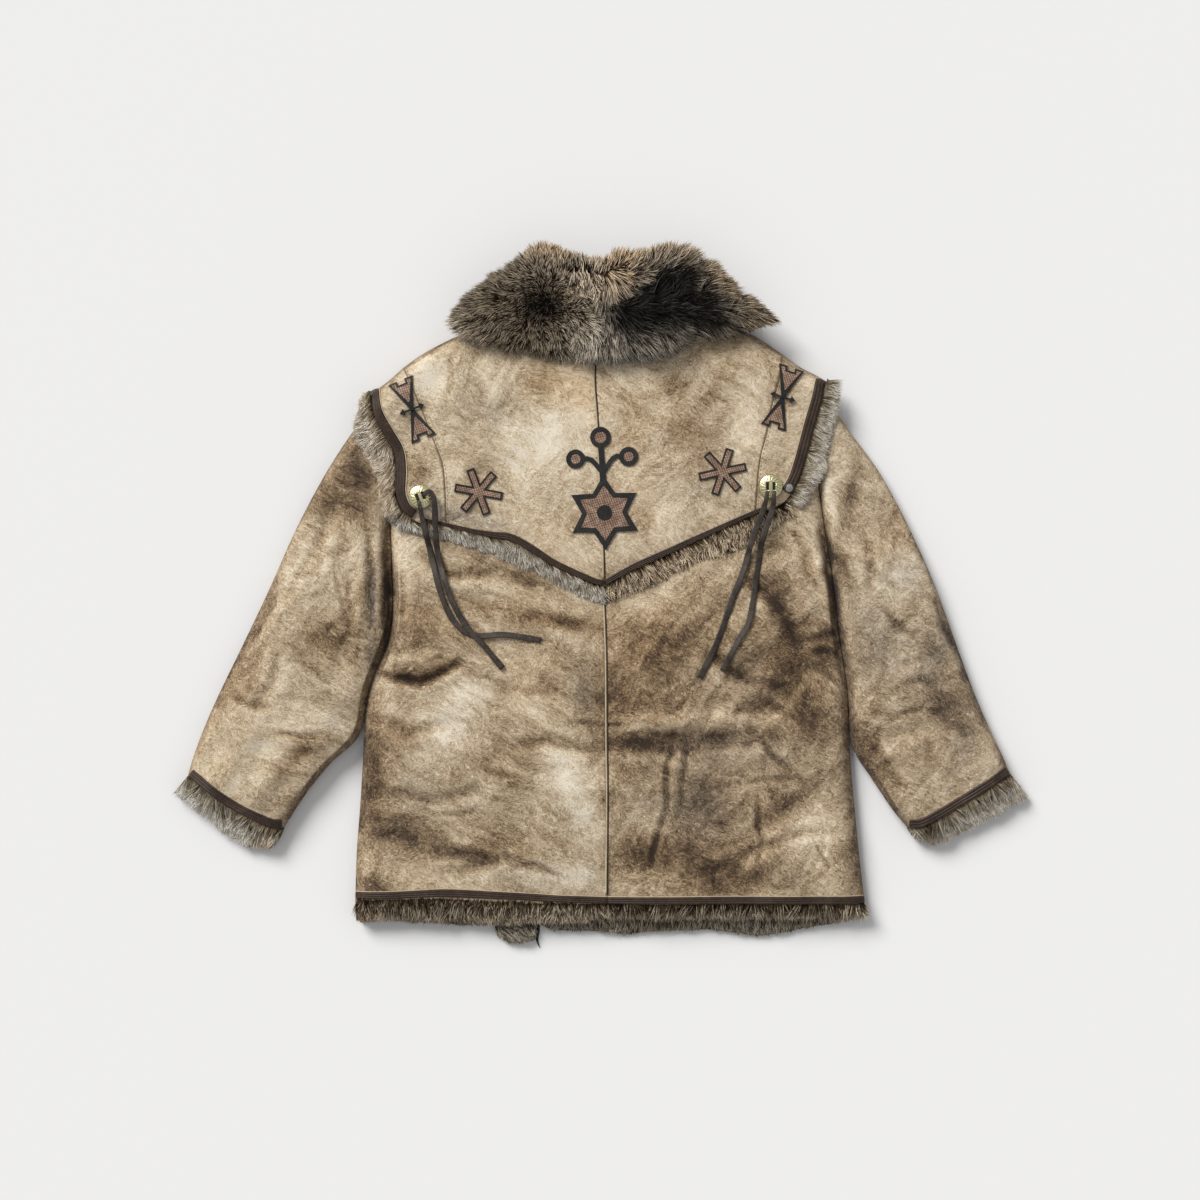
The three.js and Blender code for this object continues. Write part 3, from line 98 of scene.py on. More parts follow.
# %% [markdown]
# A colour given here is an sRGB one, and a shader wants it linear, so tint() turns one into the
# other. Shader maths reads best as arithmetic: Value wraps a socket, and + - * on it add Math nodes.
# Every other node comes from one method, which takes the node's type, its settings and its inputs.

# %% Shader arithmetic
def tint(red, green, blue):
    srgb = np.array([red, green, blue]) / 255
    linear = np.where(srgb > 0.04045, ((srgb + 0.055) / 1.055) ** 2.4, srgb / 12.92)
    return (*map(float, linear), 1.0)


class Value:
    """One output of a node, with arithmetic."""

    def __init__(self, recipe, socket):
        self.recipe = recipe
        self.socket = socket

    def maths(self, operation, *others, swapped=False):
        terms = [self, *others]
        if swapped:
            terms.reverse()
        return self.recipe.node("ShaderNodeMath", {"operation": operation}, dict(enumerate(terms)))

    def __add__(self, other):
        return self.maths("ADD", other)

    def __sub__(self, other):
        return self.maths("SUBTRACT", other)

    def __rsub__(self, other):
        return self.maths("SUBTRACT", other, swapped=True)

    def __mul__(self, other):
        return self.maths("MULTIPLY", other)

    __rmul__ = __mul__

    def above(self, low, high):
        """0 below low, 1 above high, with a soft step between."""
        return self.recipe.node(
            "ShaderNodeMapRange", {"interpolation_type": "SMOOTHSTEP"},
            {"Value": self, "From Min": low, "From Max": high},
        )


class Recipe:
    """A material, and the one way in which its nodes are made."""

    def __init__(self, name):
        self.material = bpy.data.materials.new(name)
        self.material.use_nodes = True
        self.tree = self.material.node_tree
        self.tree.nodes.clear()
        self.place = self.node("ShaderNodeTexCoord", output="Object")

    def node(self, kind, settings=None, inputs=None, output=0):
        made = self.tree.nodes.new(kind)
        for name, value in (settings or {}).items():
            if name == "stops":
                self.set_stops(made.color_ramp, value)
            else:
                setattr(made, name, value)
        for name, value in (inputs or {}).items():
            if isinstance(value, Value):
                self.tree.links.new(value.socket, made.inputs[name])
            else:
                made.inputs[name].default_value = value
        return Value(self, made.outputs[output])

    @staticmethod
    def set_stops(ramp, stops):
        while len(ramp.elements) < len(stops):
            ramp.elements.new(0.5)
        for element, (position, colour) in zip(ramp.elements, stops):
            element.position = position
            element.color = colour

    def brushed(self, place, along, turn):
        """Places for a noise that is drawn out along one direction."""
        return self.node(
            "ShaderNodeMapping", {"vector_type": "TEXTURE"},
            {"Vector": place, "Rotation": (0, 0, float(np.radians(turn))), "Scale": (along, 1, 1)},
        )

    def warped(self, scale, amount):
        """Places that a noise has pushed about, by so many metres at the most."""
        noise = self.node(
            "ShaderNodeTexNoise", {}, {"Vector": self.place, "Scale": scale, "Detail": 3}, output="Color"
        )
        push = self.node("ShaderNodeVectorMath", {"operation": "SUBTRACT"}, {0: noise, 1: (0.5, 0.5, 0.5)})
        push = self.node("ShaderNodeVectorMath", {"operation": "SCALE"}, {0: push, "Scale": amount * 2})
        return self.node("ShaderNodeVectorMath", {"operation": "ADD"}, {0: self.place, 1: push})

    def noise(self, scale, detail=4, roughness=0.5, distortion=0.0, place=None):
        return self.node(
            "ShaderNodeTexNoise", {},
            {
                "Vector": place or self.place, "Scale": scale, "Detail": detail,
                "Roughness": roughness, "Distortion": distortion,
            },
        )

    def ramp(self, value, stops):
        return self.node("ShaderNodeValToRGB", {"stops": stops}, {"Fac": value})

    def mix(self, share, first, second, blend="MIX"):
        return self.node(
            "ShaderNodeMix", {"data_type": "RGBA", "blend_type": blend},
            {0: share, 6: first, 7: second}, output=2,
        )

    def channels(self, attribute):
        colour = self.node("ShaderNodeAttribute", {"attribute_name": attribute}, output="Color")
        return [self.node("ShaderNodeSeparateColor", {}, {0: colour}, output=k) for k in range(3)]

    def finish(self, bump=None, depth=0.001, **inputs):
        shader = {
            name.replace("_", " ").title().replace("Ior", "IOR"): value
            for name, value in inputs.items()
        }
        if bump is not None:
            shader["Normal"] = self.node(
                "ShaderNodeBump", {}, {"Height": bump, "Distance": depth}, output="Normal"
            )
        surface = self.node("ShaderNodeBsdfPrincipled", {}, shader)
        out = self.tree.nodes.new("ShaderNodeOutputMaterial")
        self.tree.links.new(surface.socket, out.inputs["Surface"])
        return self.material


FLOOR_REACH = 5
FLOOR_DROP = 0.5 * MM
corners = [(-1, -1), (1, -1), (1, 1), (-1, 1)]
floor_mesh = bpy.data.meshes.new("floor")
floor_mesh.from_pydata(
    [(x * FLOOR_REACH, y * FLOOR_REACH, -FLOOR_DROP) for x, y in corners], [], [(0, 1, 2, 3)]
)
floor = bpy.data.objects.new("floor", floor_mesh)
floor.data.materials.append(Recipe("floor").finish(base_color=tint(232, 231, 229), roughness=0.95))
bpy.context.collection.objects.link(floor)

# %% [markdown]
# Suede from a whole hide is never one colour. Here it runs from a chalky cream through tan to a dark
# brown, in clouds that the hand can't repeat, with greyer places where the nap is worn smooth. The
# clouds' places are charted on the mesh, as three numbers at each point: how dark, how grey and how
# warm. The shader breaks their edges up with noise, so that they look soaked in, not painted.

# %% Suede
EVEN_TONE = 0.36


def suede_finish():
    recipe = Recipe("suede")
    # The dark channel holds the hide's own stains and also painted shade: on the rounded rims, in the creases
    # and along a few folds.
    dark, grey, warm = recipe.channels("stain")
    pushed = recipe.warped(9, 0.03)
    cloud = recipe.noise(10, 4, 0.55, 0.4)
    sweep = recipe.noise(8, 2, 0.5).above(0.42, 0.58)
    falling = recipe.noise(52, 5, 0.62, 0.6, recipe.brushed(pushed, 3.2, -28))
    rising = recipe.noise(58, 5, 0.62, 0.6, recipe.brushed(pushed, 3.0, 52))
    streak = falling * (1 - sweep) + rising * sweep
    curl = recipe.noise(230, 4, 0.66, 1.6, recipe.brushed(pushed, 1.8, -28))
    grain = recipe.noise(640, 2, 0.6)
    patchy = recipe.noise(20, 3, 0.6).above(0.46, 0.6)
    salt = recipe.noise(300, 3, 0.6, 0.8).above(0.56, 0.7) * patchy
    split = recipe.node(
        "ShaderNodeTexVoronoi", {"feature": "DISTANCE_TO_EDGE"},
        {"Vector": recipe.warped(48, 0.012), "Scale": 38}, output="Distance",
    )
    crack = (1 - split.above(0.0, 0.03)) * recipe.noise(26, 3, 0.55).above(0.58, 0.68)
    mottle = recipe.noise(30, 5, 0.66, 0.8, pushed)
    stained = (dark - EVEN_TONE) * (mottle * 1.7 + 0.15) + EVEN_TONE
    tone = stained + (cloud - 0.5) * 0.45 + (streak - 0.5) * 0.9 + (curl - 0.5) * 1.15
    tone = tone + (grain - 0.5) * 0.5 - salt * 0.3 + crack * 0.16
    colour = recipe.ramp(tone, [
        (0.0, tint(224, 213, 193)), (0.2, tint(204, 188, 161)), (0.4, tint(173, 153, 125)),
        (0.58, tint(139, 118, 91)), (0.76, tint(98, 79, 58)), (1.0, tint(50, 38, 28)),
    ])
    greyed = recipe.mix(grey * 0.75, colour, recipe.ramp(tone, [
        (0.0, tint(212, 205, 192)), (0.45, tint(150, 140, 124)), (1.0, tint(64, 57, 48)),
    ]))
    warmed = recipe.mix(warm * 0.6, greyed, tint(255, 222, 178), "MULTIPLY")
    relief = streak * 0.5 + curl * 0.55 + grain * 0.15 - crack * 0.3 + salt * 0.2
    return recipe.finish(
        base_color=warmed, roughness=0.9, bump=relief, depth=0.0011, sheen_weight=0.06,
        sheen_roughness=0.6, specular_ior_level=0.2,
    )


SUEDE = suede_finish()

# The clouds, in millimetres from the middle: where, how wide and long, how turned, and how much
# darker (or paler, below 0), greyer and warmer than the plain hide.
CLOUDS = [
    # x, y, wide, long, turn, dark, grey, warm
    (0, -190, 330, 200, 0, 0.2, 0.0, 0.0),
    (420, -100, 130, 160, 0, 0.08, 0.2, 0.0),
    (0, 190, 270, 130, 0, -0.05, 0.0, 0.0),
    (-410, -130, 110, 160, -20, -0.05, 0.0, 0.0),
    (130, 180, 80, 90, 0, -0.03, 0.0, 0.0),
    (200, -20, 90, 60, 0, 0.06, 0.0, 0.0),
    (240, -300, 90, 70, 0, 0.1, 0.0, 0.0),
    # These two rows darken the hide along the fold at the left of the back: painted shade in the fold.
    (-236, -100, 34, 13, -8, 0.4, 0.0, 0.1),
    (-200, -88, 30, 11, 12, 0.26, 0.0, 0.1),
    (-221, -35, 36, 45, 0, 0.08, 0.0, 0.2),
    (-238, 48, 18, 30, 0, -0.16, 0.1, 0.0),
    # Painted shadow under the pile along the yoke's lower edge.
    (-120, 32, 75, 12, -24, 0.3, 0.1, 0.0),
    (-75, -28, 85, 15, -12, 0.26, 0.0, 0.35),
    (-92, 8, 48, 12, -14, -0.1, 0.1, 0.2),
    (-38, -52, 45, 12, -28, -0.2, 0.1, 0.0),
    (-92, -97, 50, 26, 0, -0.08, 0.0, 0.25),
    (-22, -120, 20, 42, 0, 0.16, 0.5, 0.0),
    (-190, -160, 40, 40, 20, -0.4, 0.35, 0.0),
    (-158, -120, 34, 26, 20, -0.3, 0.2, 0.0),
    (-92, -142, 40, 24, 0, -0.22, 0.0, 0.1),
    (-284, -222, 15, 80, 2, 0.36, 0.0, 0.1),
    (-255, -178, 26, 26, 0, 0.08, 0.2, 0.4),
    (-228, -235, 34, 40, 0, 0.02, 0.45, 0.1),
    (-40, -225, 36, 40, 10, -0.4, 0.35, 0.0),
    (-18, -285, 30, 40, 24, -0.34, 0.35, 0.0),
    (-20, -345, 34, 26, 30, -0.22, 0.3, 0.0),
    (-150, -255, 60, 30, 0, -0.06, 0.2, 0.0),
    (-262, -296, 34, 20, -10, 0.3, 0.1, 0.0),
    (-210, -306, 50, 17, -22, 0.3, 0.1, 0.0),
    (-166, -322, 40, 12, -8, 0.24, 0.1, 0.0),
    (-140, -318, 30, 18, 0, 0.2, 0.0, 0.1),
    (-242, -350, 34, 18, 0, -0.02, 0.0, 0.1),
    (-70, -350, 80, 17, -4, -0.17, 0.45, 0.0),
    (-282, -365, 24, 20, 0, 0.3, 0.1, 0.0),
    (62, -6, 50, 14, 24, -0.14, 0.1, 0.1),
    (128, 45, 46, 12, 24, -0.04, 0.0, 0.2),
    (130, -22, 40, 20, 20, -0.02, 0.1, 0.1),
    (62, -66, 52, 50, 30, 0.2, 0.0, 0.35),
    (110, -70, 70, 60, 0, 0.06, 0.0, 0.0),
    (10, 62, 60, 34, 0, -0.08, 0.0, 0.0),
    (28, -135, 32, 25, 0, 0.2, 0.0, 0.2),
    # Painted shade along the long fold across the right of the back.
    (70, -190, 66, 10, -2, 0.3, 0.0, 0.0),
    (145, -140, 24, 30, 10, -0.16, 0.4, 0.3),
    (118, -100, 34, 24, 0, -0.02, 0.1, 0.0),
    (214, 30, 30, 60, 16, 0.24, 0.1, 0.0),
    (244, -60, 30, 48, 20, 0.27, 0.0, 0.15),
    (228, -112, 32, 44, 8, 0.25, 0.0, 0.15),
    (190, -110, 26, 40, 0, 0.16, 0.3, 0.1),
    (283, -68, 18, 30, 0, 0.34, 0.0, 0.0),
    (262, -150, 22, 40, 10, 0.26, 0.0, 0.1),
    (170, -196, 95, 28, -6, 0.06, 0.65, 0.3),
    (118, -262, 52, 46, 10, 0.18, 0.6, 0.1),
    (50, -266, 30, 36, 20, -0.2, 0.25, 0.0),
    (266, -297, 40, 52, -14, -0.16, 0.1, 0.0),
    (240, -255, 60, 10, 34, 0.22, 0.1, 0.0),
    (74, -322, 62, 24, 4, 0.36, 0.0, 0.15),
    (150, -350, 66, 30, 6, 0.34, 0.0, 0.1),
    (228, -348, 30, 18, 0, 0.02, 0.2, 0.0),
    (312, -331, 14, 40, 0, 0.14, 0.2, 0.1),
    (306, -215, 16, 50, 0, 0.0, 0.1, 0.1),
    (-213, 276, 20, 26, 20, -0.42, 0.1, 0.0),
    (-138, 286, 40, 24, 0, -0.14, 0.0, 0.0),
    (-67, 268, 46, 28, 0, 0.1, 0.0, 0.4),
    (-21, 249, 24, 34, 0, -0.08, 0.0, 0.5),
    (-146, 234, 42, 28, 0, 0.08, 0.4, 0.0),
    (-76, 192, 62, 70, 20, -0.26, 0.0, 0.0),
    (-159, 182, 30, 32, 0, 0.1, 0.0, 0.1),
    (-228, 152, 20, 26, 0, 0.3, 0.0, 0.0),
    (-200, 105, 40, 16, -14, 0.06, 0.6, 0.0),
    (-150, 92, 55, 13, -14, -0.02, 0.6, 0.0),
    (-60, 66, 50, 24, -24, -0.2, 0.0, 0.3),
    (49, 257, 30, 34, 0, -0.02, 0.0, 0.1),
    (38, 214, 22, 44, 10, 0.14, 0.0, 0.2),
    (112, 196, 34, 56, 24, 0.24, 0.0, 0.1),
    (92, 262, 20, 14, 0, 0.26, 0.0, 0.1),
    (132, 244, 16, 12, 30, 0.2, 0.0, 0.0),
    (170, 296, 40, 28, 0, -0.12, 0.0, 0.3),
    (186, 206, 24, 60, -8, -0.12, 0.1, 0.1),
    (120, 132, 46, 20, 20, 0.06, 0.35, 0.0),
    (60, 120, 40, 60, 30, -0.1, 0.0, 0.2),
    (90, 80, 50, 16, 24, -0.14, 0.1, 0.1),
    (228, 256, 22, 44, -14, 0.12, 0.5, 0.3),
    (-240, 246, 24, 44, 16, 0.02, 0.5, 0.2),
    (-300, 150, 16, 60, 10, 0.3, 0.2, 0.0),
    (-330, 118, 34, 48, -24, 0.38, 0.0, 0.0),
    (-372, 40, 40, 60, -26, -0.12, 0.1, 0.0),
    (-336, -54, 44, 32, 0, 0.38, 0.0, 0.1),
    # These two rows paint the shade of the fold beside the left armhole: a grey strip, and a dark line at its
    # edge.
    (-284, -4, 8, 54, 0, 0.3, 0.95, 0.0),
    (-270, 10, 4, 74, 0, 0.34, 0.3, 0.0),
    (-262, 62, 7, 26, -14, -0.2, 0.0, 0.1),
    (-288, -76, 10, 34, 4, 0.1, 0.5, 0.0),
    (-420, -10, 22, 60, -24, 0.16, 0.1, 0.0),
    (-450, -105, 34, 44, -20, 0.22, 0.0, 0.1),
    (-404, -112, 30, 50, -20, -0.14, 0.1, 0.0),
    (-330, -150, 30, 34, 0, -0.06, 0.4, 0.0),
    (-366, -190, 36, 14, 30, 0.36, 0.0, 0.1),
    (-420, -186, 40, 34, -10, -0.16, 0.1, 0.1),
    (-486, -190, 26, 34, -20, -0.06, 0.0, 0.1),
    (-420, -250, 26, 30, 0, 0.12, 0.2, 0.0),
    (302, 201, 20, 22, 0, -0.02, 0.1, 0.0),
    (314, 132, 13, 44, -10, 0.32, 0.3, 0.0),
    # Painted shadow where the right sleeve meets the body.
    (300, 40, 11, 40, 14, 0.36, 0.1, 0.0),
    (287, 129, 13, 24, 0, -0.16, 0.1, 0.0),
    (372, 78, 24, 42, -24, 0.18, 0.1, 0.2),
    (376, 26, 34, 26, 0, -0.12, 0.7, 0.0),
    (330, -10, 26, 40, 16, -0.14, 0.3, 0.0),
    (352, -60, 34, 40, 0, 0.02, 0.5, 0.0),
    (416, -76, 22, 50, -26, 0.2, 0.5, 0.0),
    (431, -137, 36, 38, -20, 0.3, 0.2, 0.1),
    (458, -186, 18, 26, -20, 0.16, 0.5, 0.0),
    (492, -180, 16, 40, -20, -0.1, 0.0, 0.2),
    (402, -205, 34, 30, 0, 0.04, 0.3, 0.3),
    (330, -100, 24, 30, 0, 0.0, 0.1, 0.0),
    (338, -196, 16, 48, 32, 0.3, 0.0, 0.1),
]
PLAIN = np.array([0.38, 0.0, 0.05])


def turned(x, y, degrees):
    """The same places, read along axes that are turned."""
    cos, sin = np.cos(np.radians(degrees)), np.sin(np.radians(degrees))
    return x * cos + y * sin, y * cos - x * sin


def clouds_at(x, y, table=CLOUDS, plain=PLAIN):
    """How dark, grey and warm it is at each point, from a table of clouds."""
    total = np.tile(plain, (len(x), 1)).astype(float)
    for cx, cy, wide, long, turn, *change in table:
        across, along = turned(x / MM - cx, y / MM - cy, turn)
        share = np.exp(-1.2 * ((across / wide) ** 2 + (along / long) ** 2))
        total += share[:, None] * np.array(change)
    return np.clip(total, 0, 1)


print("clouds on the hide:", len(CLOUDS))

# %% [markdown]
# A hide folds where it is held or pressed, and each fold here is listed: a soft trough along
# a few points, with a low ridge on either side. Between them the hide waves a little, and its skin is
# finely creased. That much is real shape, moved in the mesh, and only the nap is left to the shader.

# %% Folds and waves
CREASES = [
    # depth, width, points: all in millimetres
    (5.6, 5, [(-284, -98), (-256, -106), (-227, -111), (-187, -91), (-165, -76)]),
    (-2.6, 8, [(-270, -80), (-235, -86), (-200, -72)]),
    (4.4, 11, [(9, -185), (60, -182), (110, -186), (170, -178), (237, -176)]),
    (-2.0, 9, [(20, -160), (80, -158), (150, -152), (220, -150)]),
    (3.4, 3.5, [(93, -148), (88, -206), (81, -257), (70, -310), (59, -366)]),
    (2.8, 3, [(107, -190), (104, -230), (98, -276)]),
    (-1.6, 5, [(98, -170), (95, -220), (88, -280)]),
    (3.0, 3, [(196, -244), (199, -290), (197, -338)]),
    (2.8, 3, [(266, -308), (276, -322), (288, -344)]),
    (2.8, 3.5, [(160, -139), (188, -166), (219, -200), (245, -218)]),
    (1.8, 3, [(52, -152), (90, -146), (120, -120)]),
    (1.8, 3, [(180, -232), (214, -228), (250, -236)]),
    (1.6, 3, [(-67, -78), (-40, -94), (-10, -116)]),
    (1.6, 3, [(-222, -176), (-200, -188), (-180, -196)]),
    (1.6, 3, [(-160, -212), (-120, -222), (-90, -240)]),
    (1.8, 3, [(-236, -262), (-190, -276), (-150, -270)]),
    (1.6, 3, [(-120, -346), (-80, -334), (-20, -362)]),
    (2.0, 5, [(218, -199), (259, -243)]),
    (2.4, 4, [(250, -58), (278, -50), (306, -44)]),
    (2.4, 4, [(252, -72), (280, -72), (310, -80)]),
    (2.0, 4, [(256, -88), (282, -96), (304, -112)]),
    (2.6, 6, [(236, 88), (252, 60), (262, 20)]),
    (6.0, 6, [(-268, 96), (-266, 20), (-268, -56)]),
    (2.6, 4, [(-293, 86), (-291, 20), (-284, -40)]),
    (-3.4, 8, [(-306, 74), (-304, 10), (-300, -60)]),
    (1.8, 3, [(-326, -18), (-312, -40), (-292, -54)]),
    (1.6, 3, [(-338, 34), (-326, 6), (-318, -24)]),
    (1.6, 3, [(-330, -66), (-310, -84), (-292, -90)]),
    (2.4, 5, [(-352, 76), (-372, 30), (-392, -8)]),
    (2.2, 5, [(-402, 10), (-424, -40), (-446, -70)]),
    (2.2, 5, [(-380, -70), (-352, -100), (-330, -110)]),
    (2.4, 5, [(-470, -120), (-440, -140), (-400, -142)]),
    (2.2, 5, [(330, 40), (352, 20), (384, 10)]),
    (2.4, 5, [(340, -140), (372, -150), (410, -140)]),
    (2.0, 5, [(430, -40), (452, -84), (476, -120)]),
    (5.0, 6, [(277, 104), (285, 40), (298, -44)]),
    (3.0, 7, [(-230, 60), (-190, 30), (-130, 18)]),
    (-2.6, 8, [(-224, 40), (-180, 14), (-120, 4)]),
    (2.6, 6, [(-96, -20), (-56, -34), (-14, -34)]),
    (3.4, 8, [(176, 40), (222, -10), (244, -70)]),
    (-2.8, 9, [(196, 60), (246, 20), (270, -30)]),
    (3.0, 7, [(120, -60), (176, -100), (250, -120)]),
    (2.4, 6, [(150, -150), (210, -140), (270, -160)]),
    (2.6, 7, [(-290, -150), (-240, -170), (-180, -160)]),
    (2.2, 6, [(-120, -190), (-60, -180), (0, -196)]),
    (2.2, 7, [(-270, -240), (-200, -256), (-140, -240)]),
    (2.0, 6, [(-200, -352), (-120, -330), (-40, -352)]),
    (2.4, 6, [(100, -352), (170, -330), (240, -300), (300, -290)]),
    (2.4, 3, [(-46, -160), (0, -160), (49, -162)]),
    (1.6, 5, [(-250, 40), (-244, -10), (-248, -60)]),
    (1.2, 4, [(-150, -100), (-110, -120), (-60, -122)]),
    (1.2, 5, [(-260, -300), (-210, -322), (-150, -322)]),
    (1.0, 4, [(120, -300), (150, -312), (190, -306)]),
    (1.2, 5, [(150, -20), (176, -70), (182, -130)]),
    (1.0, 4, [(30, -40), (70, -60), (110, -62)]),
    (3.0, 5, [(-414, -172), (-380, -176), (-341, -174)]),
    (2.0, 4, [(-348, -33), (-326, -41)]),
    (2.2, 7, [(-340, 100), (-352, 50), (-372, 0)]),
    (2.0, 6, [(-300, 60), (-310, 10), (-312, -40)]),
    (1.8, 6, [(-396, -60), (-410, -110), (-440, -150)]),
    (2.4, 5, [(353, -16), (369, -39), (406, -53)]),
    (2.0, 4, [(377, -84), (408, -78)]),
    (2.2, 5, [(374, -113), (403, -102), (426, -112)]),
    (2.0, 6, [(330, 80), (338, 40), (334, 0)]),
    (1.8, 5, [(400, 30), (424, -30), (440, -70)]),
    (1.6, 5, [(380, -170), (410, -190), (430, -230)]),
    (2.0, 5, [(340, -180), (360, -214), (384, -250)]),
    (1.6, 4, [(124, 284), (166, 262), (212, 237)]),
    (1.3, 3.5, [(117, 272), (146, 244), (174, 219)]),
    (1.2, 3.5, [(149, 296), (186, 282), (218, 269)]),
    (1.6, 4, [(-189, 301), (-184, 270), (-187, 244)]),
    (0.9, 3, [(-132, 296), (-130, 272), (-140, 250)]),
    (0.8, 3, [(-113, 232), (-108, 214), (-118, 196)]),
    (0.8, 3, [(-163, 206), (-158, 184)]),
    (0.8, 3, [(60, 230), (84, 214), (96, 190)]),
    (0.8, 3, [(-60, 150), (-40, 130), (-34, 104)]),
    (0.9, 3, [(110, 112), (130, 96), (160, 90)]),
]


LATTICE = 64


def smooth(value):
    """0 below 0 and 1 above 1, with a soft step between."""
    value = np.clip(value, 0, 1)
    return value * value * (3 - 2 * value)


def ripple(x, y, size, seed):
    """Smooth noise from 0 to 1, with swells about as long as size."""
    lattice = np.random.default_rng(seed).random((LATTICE, LATTICE))
    u, v = x / size + 1000.0, y / size + 1000.0
    column, row = np.floor(u).astype(int), np.floor(v).astype(int)
    s, t = smooth(u - column), smooth(v - row)
    corner = [
        lattice[(column + i) % LATTICE, (row + j) % LATTICE] for i in (0, 1) for j in (0, 1)
    ]
    near = corner[0] * (1 - t) + corner[1] * t
    far = corner[2] * (1 - t) + corner[3] * t
    return near * (1 - s) + far * s


def from_line(x, y, points):
    """Distance to a line of points, and how far the nearest place is from the line's ends (0 to 1)."""
    best = np.full(len(x), 1e9)
    ends = np.zeros(len(x))
    pieces = len(points) - 1
    for k, (start, end) in enumerate(zip(points[:-1], points[1:])):
        ax, ay, bx, by = *start, *end
        run = (bx - ax) ** 2 + (by - ay) ** 2
        t = np.clip(((x - ax) * (bx - ax) + (y - ay) * (by - ay)) / run, 0, 1)
        distance = np.hypot(x - ax - t * (bx - ax), y - ay - t * (by - ay))
        nearer = distance < best
        best = np.where(nearer, distance, best)
        ends = np.where(nearer, (k + t) / pieces, ends)
    return best, np.minimum(ends, 1 - ends) * 2


# Where the hide swells into long soft folds, and how those lie there.
SWELLS = [
    # x, y, wide, long, turn of the place; turn, length, breadth and height of the folds
    (-392, -30, 95, 290, -20, 56, 110, 24, 5.6),
    (-420, -190, 100, 70, -20, -6, 90, 24, 3.0),
    (392, -30, 95, 290, 20, -54, 110, 24, 5.6),
    (420, -180, 100, 80, 20, 24, 90, 24, 3.4),
    (-150, -30, 130, 110, 0, -24, 120, 26, 3.6),
    (180, -60, 140, 130, 0, 34, 120, 26, 4.2),
    (0, -260, 330, 140, 0, -12, 150, 32, 3.2),
    (130, 240, 110, 90, 0, -34, 110, 22, 2.4),
    (-140, 220, 110, 110, 0, 70, 90, 26, 2.0),
]


# Painted shade and light of the creases: the colour darkens by so much for each millimetre of a trough's
# depth, and the ridges beside it are painted a little paler, each up to a limit.
FOLD_SHADE_PER_MM = 0.075
RIDGE_PAINTED_LIGHT_LIMIT, CREASE_PAINTED_SHADE_LIMIT = -0.08, 0.24


def wandering(x, y):
    """How far a fold strays from its line, in millimetres."""
    return (ripple(x, y, 26, 3) - 0.5) * 9


def creased(x, y):
    """What the creases alone add to the height, in millimetres."""
    bend = wandering(x, y)
    height = np.zeros(len(x))
    for depth, width, points in CREASES:
        distance, ends = from_line(x + bend, y + bend * 0.7, points)
        taper = smooth(ends * 1.6 + 0.15)
        height -= depth * taper * np.exp(-((distance / width) ** 2))
        height += 0.35 * depth * taper * np.exp(-(((distance - 2.1 * width) / width) ** 2))
    return height


def crease_shade(x, y):
    """Painted shade: how much darker the hide is painted in a crease, and how much paler on its ridges."""
    return np.clip(-FOLD_SHADE_PER_MM * creased(x / MM, y / MM), RIDGE_PAINTED_LIGHT_LIMIT, CREASE_PAINTED_SHADE_LIMIT)


def relief(x, y):
    """How far the hide lies above or below the plain form, in metres."""
    x, y = x / MM, y / MM
    bend = wandering(x, y)
    height = (ripple(x, y, 85, 1) - 0.5) * 4.6 + (ripple(x, y, 38, 2) - 0.5) * 3.2
    height += (ripple(x + bend, y - bend, 18, 7) - 0.5) * 1.5
    for row, (cx, cy, wide, long, turn, heading, run, breadth, high) in enumerate(SWELLS):
        across, along = turned(x - cx, y - cy, turn)
        share = np.exp(-((across / wide) ** 4) - (along / long) ** 4)
        down, over = turned(x + bend, y + bend, heading)
        wave = ripple(down * breadth / run, over, breadth, 20 + row)
        height += (wave - 0.5) * 2 * high * share
    height += creased(x, y)
    fine = np.abs(ripple(x + bend, y, 13, 4) - 0.5) * 2
    finer = np.abs(ripple(x, y + bend, 6, 5) - 0.5) * 2
    patchy = smooth((ripple(x, y, 60, 6) - 0.35) * 2.4)
    height -= patchy * (np.exp(-((fine / 0.16) ** 2)) * 0.5 + np.exp(-((finer / 0.2) ** 2)) * 0.22)
    return height * MM


print("creases:", len(CREASES))

# %% [markdown]
# Each panel starts from its own solid in the frame. Its triangles are joined back into squares, its
# hard corners are kept by a crease, and Catmull-Clark subdivision rounds the rest. Then the folds
# move the points of the upper face, and the clouds are stored on them as a colour attribute,
# together with painted shade on the rounded rims and in the creases, and painted light on the ridges.

# %% From a solid to a soft panel
MERGE = 0.01 * MM


def points_of(mesh):
    flat = np.empty(len(mesh.vertices) * 3)
    mesh.vertices.foreach_get("co", flat)
    return flat.reshape(-1, 3)


def normals_of(mesh):
    flat = np.empty(len(mesh.vertices) * 3, dtype=np.float32)
    mesh.vertex_normals.foreach_get("vector", flat)
    return flat.reshape(-1, 3).astype(float)


def paint(mesh, name, values):
    """Stores three numbers at each point, for a material to read."""
    attribute = mesh.attributes.new(name, "FLOAT_COLOR", "POINT")
    rgba = np.ones((len(values), 4), dtype=np.float32)
    rgba[:, :3] = values
    attribute.data.foreach_set("color", rgba.ravel())


def mesh_of(form, name):
    """A finished form as a mesh. The form is freed."""
    mesh = bpy.data.meshes.new(name)
    form.to_mesh(mesh)
    form.free()
    return mesh


def form_of(points, faces):
    """A form with these points, and these faces between them."""
    form = bmesh.new()
    made = [form.verts.new(point) for point in points]
    for face in faces:
        form.faces.new([made[k] for k in face])
    return form


def node_form(node):
    """A node's own solid, its doubled points merged, ready to be cut finer."""
    form = bmesh.new()
    form.from_mesh(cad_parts[node].data)
    bmesh.ops.remove_doubles(form, verts=form.verts, dist=MERGE)
    return form


def add_piece(name, mesh, finish):
    piece = bpy.data.objects.new(name, mesh)
    mesh.materials.clear()
    mesh.materials.append(finish)
    bpy.context.collection.objects.link(piece)
    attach(piece, "root")
    return piece


